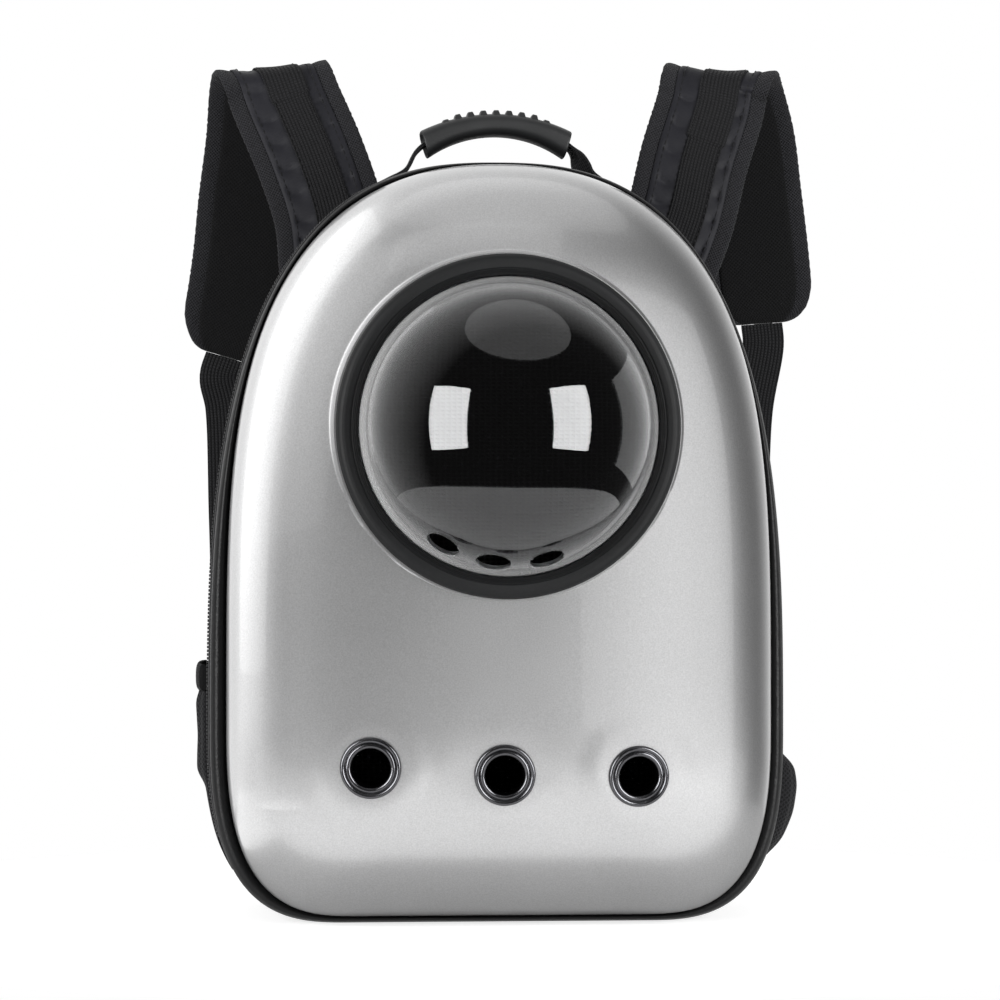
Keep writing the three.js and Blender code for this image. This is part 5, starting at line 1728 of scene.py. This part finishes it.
class CARRIER_OT_pockets(bpy.types.Operator):
    """Build the two elastic side pockets with their gathered hems"""

    bl_idname = "carrier.pockets"
    bl_label = "Side Pockets"

    def execute(self, context):
        sizes = context.scene.carrier
        cloth = net("pocket mesh", sizes.colours.pocket, 0.002, 0.0004).material
        hem = woven("pocket elastic", sizes.colours.zip_tape, 0.0012, 0.00025).material
        for side, word, rows in ((-1, "left", LEFT_POCKET), (1, "right", RIGHT_POCKET)):
            self.build_pocket(sizes, side, word, rows, cloth)
            self.build_hem(sizes, side, word, rows, hem)
        return {"FINISHED"}

    def surface(self, sizes, side, rows, up, across, lift):
        """Points of the pocket's face for shares of its height and width."""
        trim = sizes.trim
        outline = body_outline(sizes)
        half = trim.pocket / 2
        y = GUSSET_FRONT + trim.pocket_set_back + across * half
        z = trim.pocket_base + (trim.pocket_top - trim.pocket_base) * up
        table = np.array(rows)
        fine = np.linspace(0, 1, 201)
        kernel = np.hanning(23)
        bulges = np.interp(fine, table[:, 0], table[:, 1])
        bulges = np.convolve(np.pad(bulges, 11, mode="edge"), kernel / kernel.sum(), mode="valid")
        rounding = (1 - np.abs(across) ** 4) ** 0.75
        belly = np.interp(up, fine, bulges) * trim.pocket_bulge * rounding
        step = 0.0005
        slope = (outline.half_width(z + step) - outline.half_width(z - step)) / (2 * step)
        run = np.hypot(1, slope)
        place = (y - GUSSET_FRONT) / (GUSSET_BACK - GUSSET_FRONT)
        fade = np.where(slope > 0, np.clip(1 - 1.01 * slope / run, 0, None), 1)
        stand = sizes.body.bulge * 4 * place * (1 - place) * fade
        out = stand + CURVED_GAP + belly + lift
        x = outline.half_width(z) + out / run
        return np.stack([side * x, y, z - slope / run * out], axis=-1)

    def build_pocket(self, sizes, side, word, rows, material):
        up, across = np.meshgrid(np.linspace(0, 1, 60), np.linspace(-1, 1, 49), indexing="ij")
        free = 1 - np.abs(across) ** 4
        pleat = waves(across * 31, (7.3, 4.9, 11.0), side + 2)
        near_hem = 0.35 + 0.65 * up
        crease = 0.0011 * (pleat + 0.25) * free * (near_hem if side < 0 else 0.5 + 0.5 * np.sin(np.pi * up))
        crease = np.clip(crease, -0.0003, None)
        outer = self.surface(sizes, side, rows, up, across, sizes.trim.pocket_wall + crease)
        inner = self.surface(sizes, side, rows, up, across, crease * 0.4)
        rings = np.concatenate([outer, inner[:, ::-1]], axis=1)
        piece = skin(f"pocket_{word}", rings, [material], caps="strip", sharp=70)
        dress(piece, "pocket_mesh", f"side_pocket_{word}")

    def build_hem(self, sizes, side, word, rows, material):
        trim = sizes.trim
        across = np.linspace(-1, 1, 90)
        centre = self.surface(sizes, side, rows, np.ones(90), across, trim.hem_thickness / 2)
        centre[:, 2] += trim.hem / 2 + SEAM_GAP
        turn = np.linspace(0, 2 * math.pi, 25)[:-1]
        u, v = np.cos(turn), np.sin(turn)
        gather = waves(across * 31, (3.1, 2.2, 4.7), side + 1)[:, None]
        thick = trim.hem_thickness / 2 * (1 + 0.1 * gather * (side * u > 0))
        out = side * np.sign(u) * np.abs(u) ** 0.8 * thick
        height = np.sign(v) * np.abs(v) ** 0.7 * trim.hem / 2 * (1 + 0.02 * gather)
        rings = centre[:, None] + np.stack([out, np.zeros_like(out), height], axis=-1)
        piece = skin(f"pocket_elastic_{word}", rings, [material], sharp=70)
        dress(piece, "pocket_hem", f"pocket_hem_{word}")


# Camera, floor and light. Panels that light the hard front alone have columns: name, place,
# size and share of the wash's power. Those of the second table lie on the floor and face up.
FRONT_PANELS = [
    ("right wash", (1.02, -1.35, 0.35), (1.8, 1.5), 1.0),
    ("left wash", (-1.35, 0.0, 0.95), (1.5, 2.0), 1.7),
    ("left soft", (-1.25, -1.15, 0.95), (1.3, 1.5), 0.42),
    ("front fill", (-0.2, -2.2, 0.5), (4.0, 2.2), 0.55),
    ("crown fill", (-0.15, -1.5, 1.55), (1.3, 0.6), 0.2),
]
TABLE_PANELS = [
    ("table glow", (-0.03, -0.33, 0.004), (2.0, 0.34), 0.15),
    ("corner glow", (-0.36, -0.06, 0.004), (0.3, 0.44), 0.04),
]


class CARRIER_OT_stage(bpy.types.Operator):
    """Set up the camera, the pale floor and the soft studio light"""

    bl_idname = "carrier.stage"
    bl_label = "Camera and Light"

    def execute(self, context):
        sizes = context.scene.carrier
        stage = sizes.stage
        target = Vector((0, BAND_FRONT + 0.0063, stage.target))
        back = Vector((math.sin(stage.azimuth), -math.cos(stage.azimuth), 0))
        self.add_camera(context, stage, target, back)
        self.add_floor(stage, sizes.colours)
        for turn, word in ((stage.left_turn, "left"), (stage.right_turn, "right")):
            place = target + Matrix.Rotation(turn, 3, "Z") @ back * 1.5 + Vector((0, 0, 0.17))
            aim = target + Vector((0, 0, 0.03))
            self.add_panel(f"softbox {word}", place, aim, (0.8, 1.15), stage.key)
        above = Vector((0.15, -0.4, 1.87))
        self.add_panel("overhead", above, above * 0.99, (1.9, 1.9), stage.top, "ELLIPSE")
        for word, place, size, share_of_wash in FRONT_PANELS:
            self.add_panel(word, Vector(place), target, size, stage.wash * share_of_wash)
        for word, place, size, share_of_wash in TABLE_PANELS:
            above = Vector(place) + Vector((0, 0, 1))
            self.add_panel(word, Vector(place), above, size, stage.wash * share_of_wash)
        self.add_panel("right rear", Vector((1.2, 0.35, 0.32)), target, (1.0, 1.1), stage.top * 0.55)
        self.share_light()
        self.add_world(context)
        context.scene.view_settings.view_transform = "Standard"
        return {"FINISHED"}

    def share_light(self):
        """The broad panels light the hard front alone. The small bright softboxes and the white
        table light everything else."""
        front = bpy.data.objects["hard_front"]
        alone = bpy.data.collections.new("hard front alone")
        alone.objects.link(front)
        others = bpy.data.collections.new("all but the hard front")
        others.objects.link(front)
        others.collection_objects[0].light_linking.link_state = "EXCLUDE"
        for name, *_ in FRONT_PANELS + TABLE_PANELS:
            bpy.data.objects[name].light_linking.receiver_collection = alone
        for name in ("softbox left", "softbox right", "right rear", "studio_floor"):
            bpy.data.objects[name].light_linking.receiver_collection = others

    def add_camera(self, context, stage, target, back):
        data = bpy.data.cameras.new("camera")
        data.sensor_width = 36
        data.lens = 36 * stage.distance / stage.field
        data.shift_x = 0.002
        data.shift_y = 0.0012
        camera = bpy.data.objects.new("camera", data)
        camera.location = target + back * stage.distance
        camera.rotation_euler = (-back).to_track_quat("-Z", "Y").to_euler()
        context.collection.objects.link(camera)
        context.scene.camera = camera

    def add_floor(self, stage, colours):
        """A round white table that the carrier stands on."""
        turn = np.linspace(0, 2 * math.pi, 120, endpoint=False)
        points = np.column_stack([np.cos(turn), np.sin(turn), 0 * turn]) * stage.table
        finish = Finish("studio floor", colours.floor, 0.8, Emission_Strength=0.72)
        finish.shader.inputs["Emission Color"].default_value = (1, 1, 1, 1)
        finish.shade(finish.noise(0.2), 0.995, 1.0)
        floor = mesh_piece("studio_floor", points, [np.arange(len(turn))[None]], [finish.material])

    def add_panel(self, name, place, target, size, power, shape="RECTANGLE"):
        light = bpy.data.lights.new(name, "AREA")
        light.shape = shape
        light.size, light.size_y = size
        light.energy = power
        panel = bpy.data.objects.new(name, light)
        panel.location = place
        panel.rotation_euler = (target - place).to_track_quat("-Z", "Y").to_euler()
        panel.visible_camera = False
        bpy.context.collection.objects.link(panel)

    def add_world(self, context):
        """A white backdrop behind the carrier and a dark room in front of it."""
        world = bpy.data.worlds.new("studio")
        world.use_nodes = True
        context.scene.world = world
        tree = world.node_tree
        background = tree.nodes["Background"]
        place = tree.nodes.new("ShaderNodeTexCoord")
        bright = tree.nodes.new("ShaderNodeVectorMath")
        bright.operation = "DOT_PRODUCT"
        bright.inputs[1].default_value = (-0.35, 0.9, 0.2)
        room = tree.nodes.new("ShaderNodeMapRange")
        room.inputs["From Min"].default_value = 0.0
        room.inputs["From Max"].default_value = 0.75
        room.inputs["To Min"].default_value = 0.07
        room.inputs["To Max"].default_value = 1.0
        seen = tree.nodes.new("ShaderNodeLightPath")
        lit = tree.nodes.new("ShaderNodeMath")
        lit.operation = "MAXIMUM"
        tree.links.new(place.outputs["Generated"], bright.inputs[0])
        tree.links.new(bright.outputs["Value"], room.inputs["Value"])
        tree.links.new(room.outputs["Result"], lit.inputs[0])
        tree.links.new(seen.outputs["Is Camera Ray"], lit.inputs[1])
        tree.links.new(lit.outputs[0], background.inputs["Strength"])
        background.inputs["Color"].default_value = (1, 1, 1, 1)


OPERATORS = (
    CARRIER_OT_front,
    CARRIER_OT_vents,
    CARRIER_OT_window,
    CARRIER_OT_band,
    CARRIER_OT_sides,
    CARRIER_OT_zip,
    CARRIER_OT_handle,
    CARRIER_OT_straps,
    CARRIER_OT_pockets,
    CARRIER_OT_stage,
)


class CARRIER_PT_panel(bpy.types.Panel):
    """Sizes, colours and steps of the pet carrier"""

    bl_idname = "CARRIER_PT_panel"
    bl_label = "Pet Carrier"
    bl_space_type = "VIEW_3D"
    bl_region_type = "UI"
    bl_category = "Pet Carrier"

    def draw(self, context):
        settings = context.scene.carrier
        for operator in OPERATORS:
            self.layout.operator(operator.bl_idname)
        for group in settings.bl_rna.properties:
            if group.type == "POINTER" and group.identifier != "rna_type":
                box = self.layout.box()
                box.label(text=group.name)
                owner = getattr(settings, group.identifier)
                for entry in owner.bl_rna.properties:
                    if entry.identifier not in ("rna_type", "name"):
                        box.prop(owner, entry.identifier)


GROUPS = (
    BodySizes,
    FrontSizes,
    WindowSizes,
    HandleSizes,
    StrapSizes,
    TrimSizes,
    Finishes,
    StageSettings,
    CarrierSettings,
)


def register():
    for kind in (*GROUPS, *OPERATORS, CARRIER_PT_panel):
        bpy.utils.register_class(kind)
    bpy.types.Scene.carrier = PointerProperty(
        type=CarrierSettings, name="Pet carrier", description="Sizes and colours of the carrier"
    )


def unregister():
    del bpy.types.Scene.carrier
    for kind in reversed((*GROUPS, *OPERATORS, CARRIER_PT_panel)):
        bpy.utils.unregister_class(kind)


def main():
    register()
    for operator in OPERATORS:
        group, name = operator.bl_idname.split(".")
        getattr(getattr(bpy.ops, group), name)()


if __name__ == "__main__":
    main()
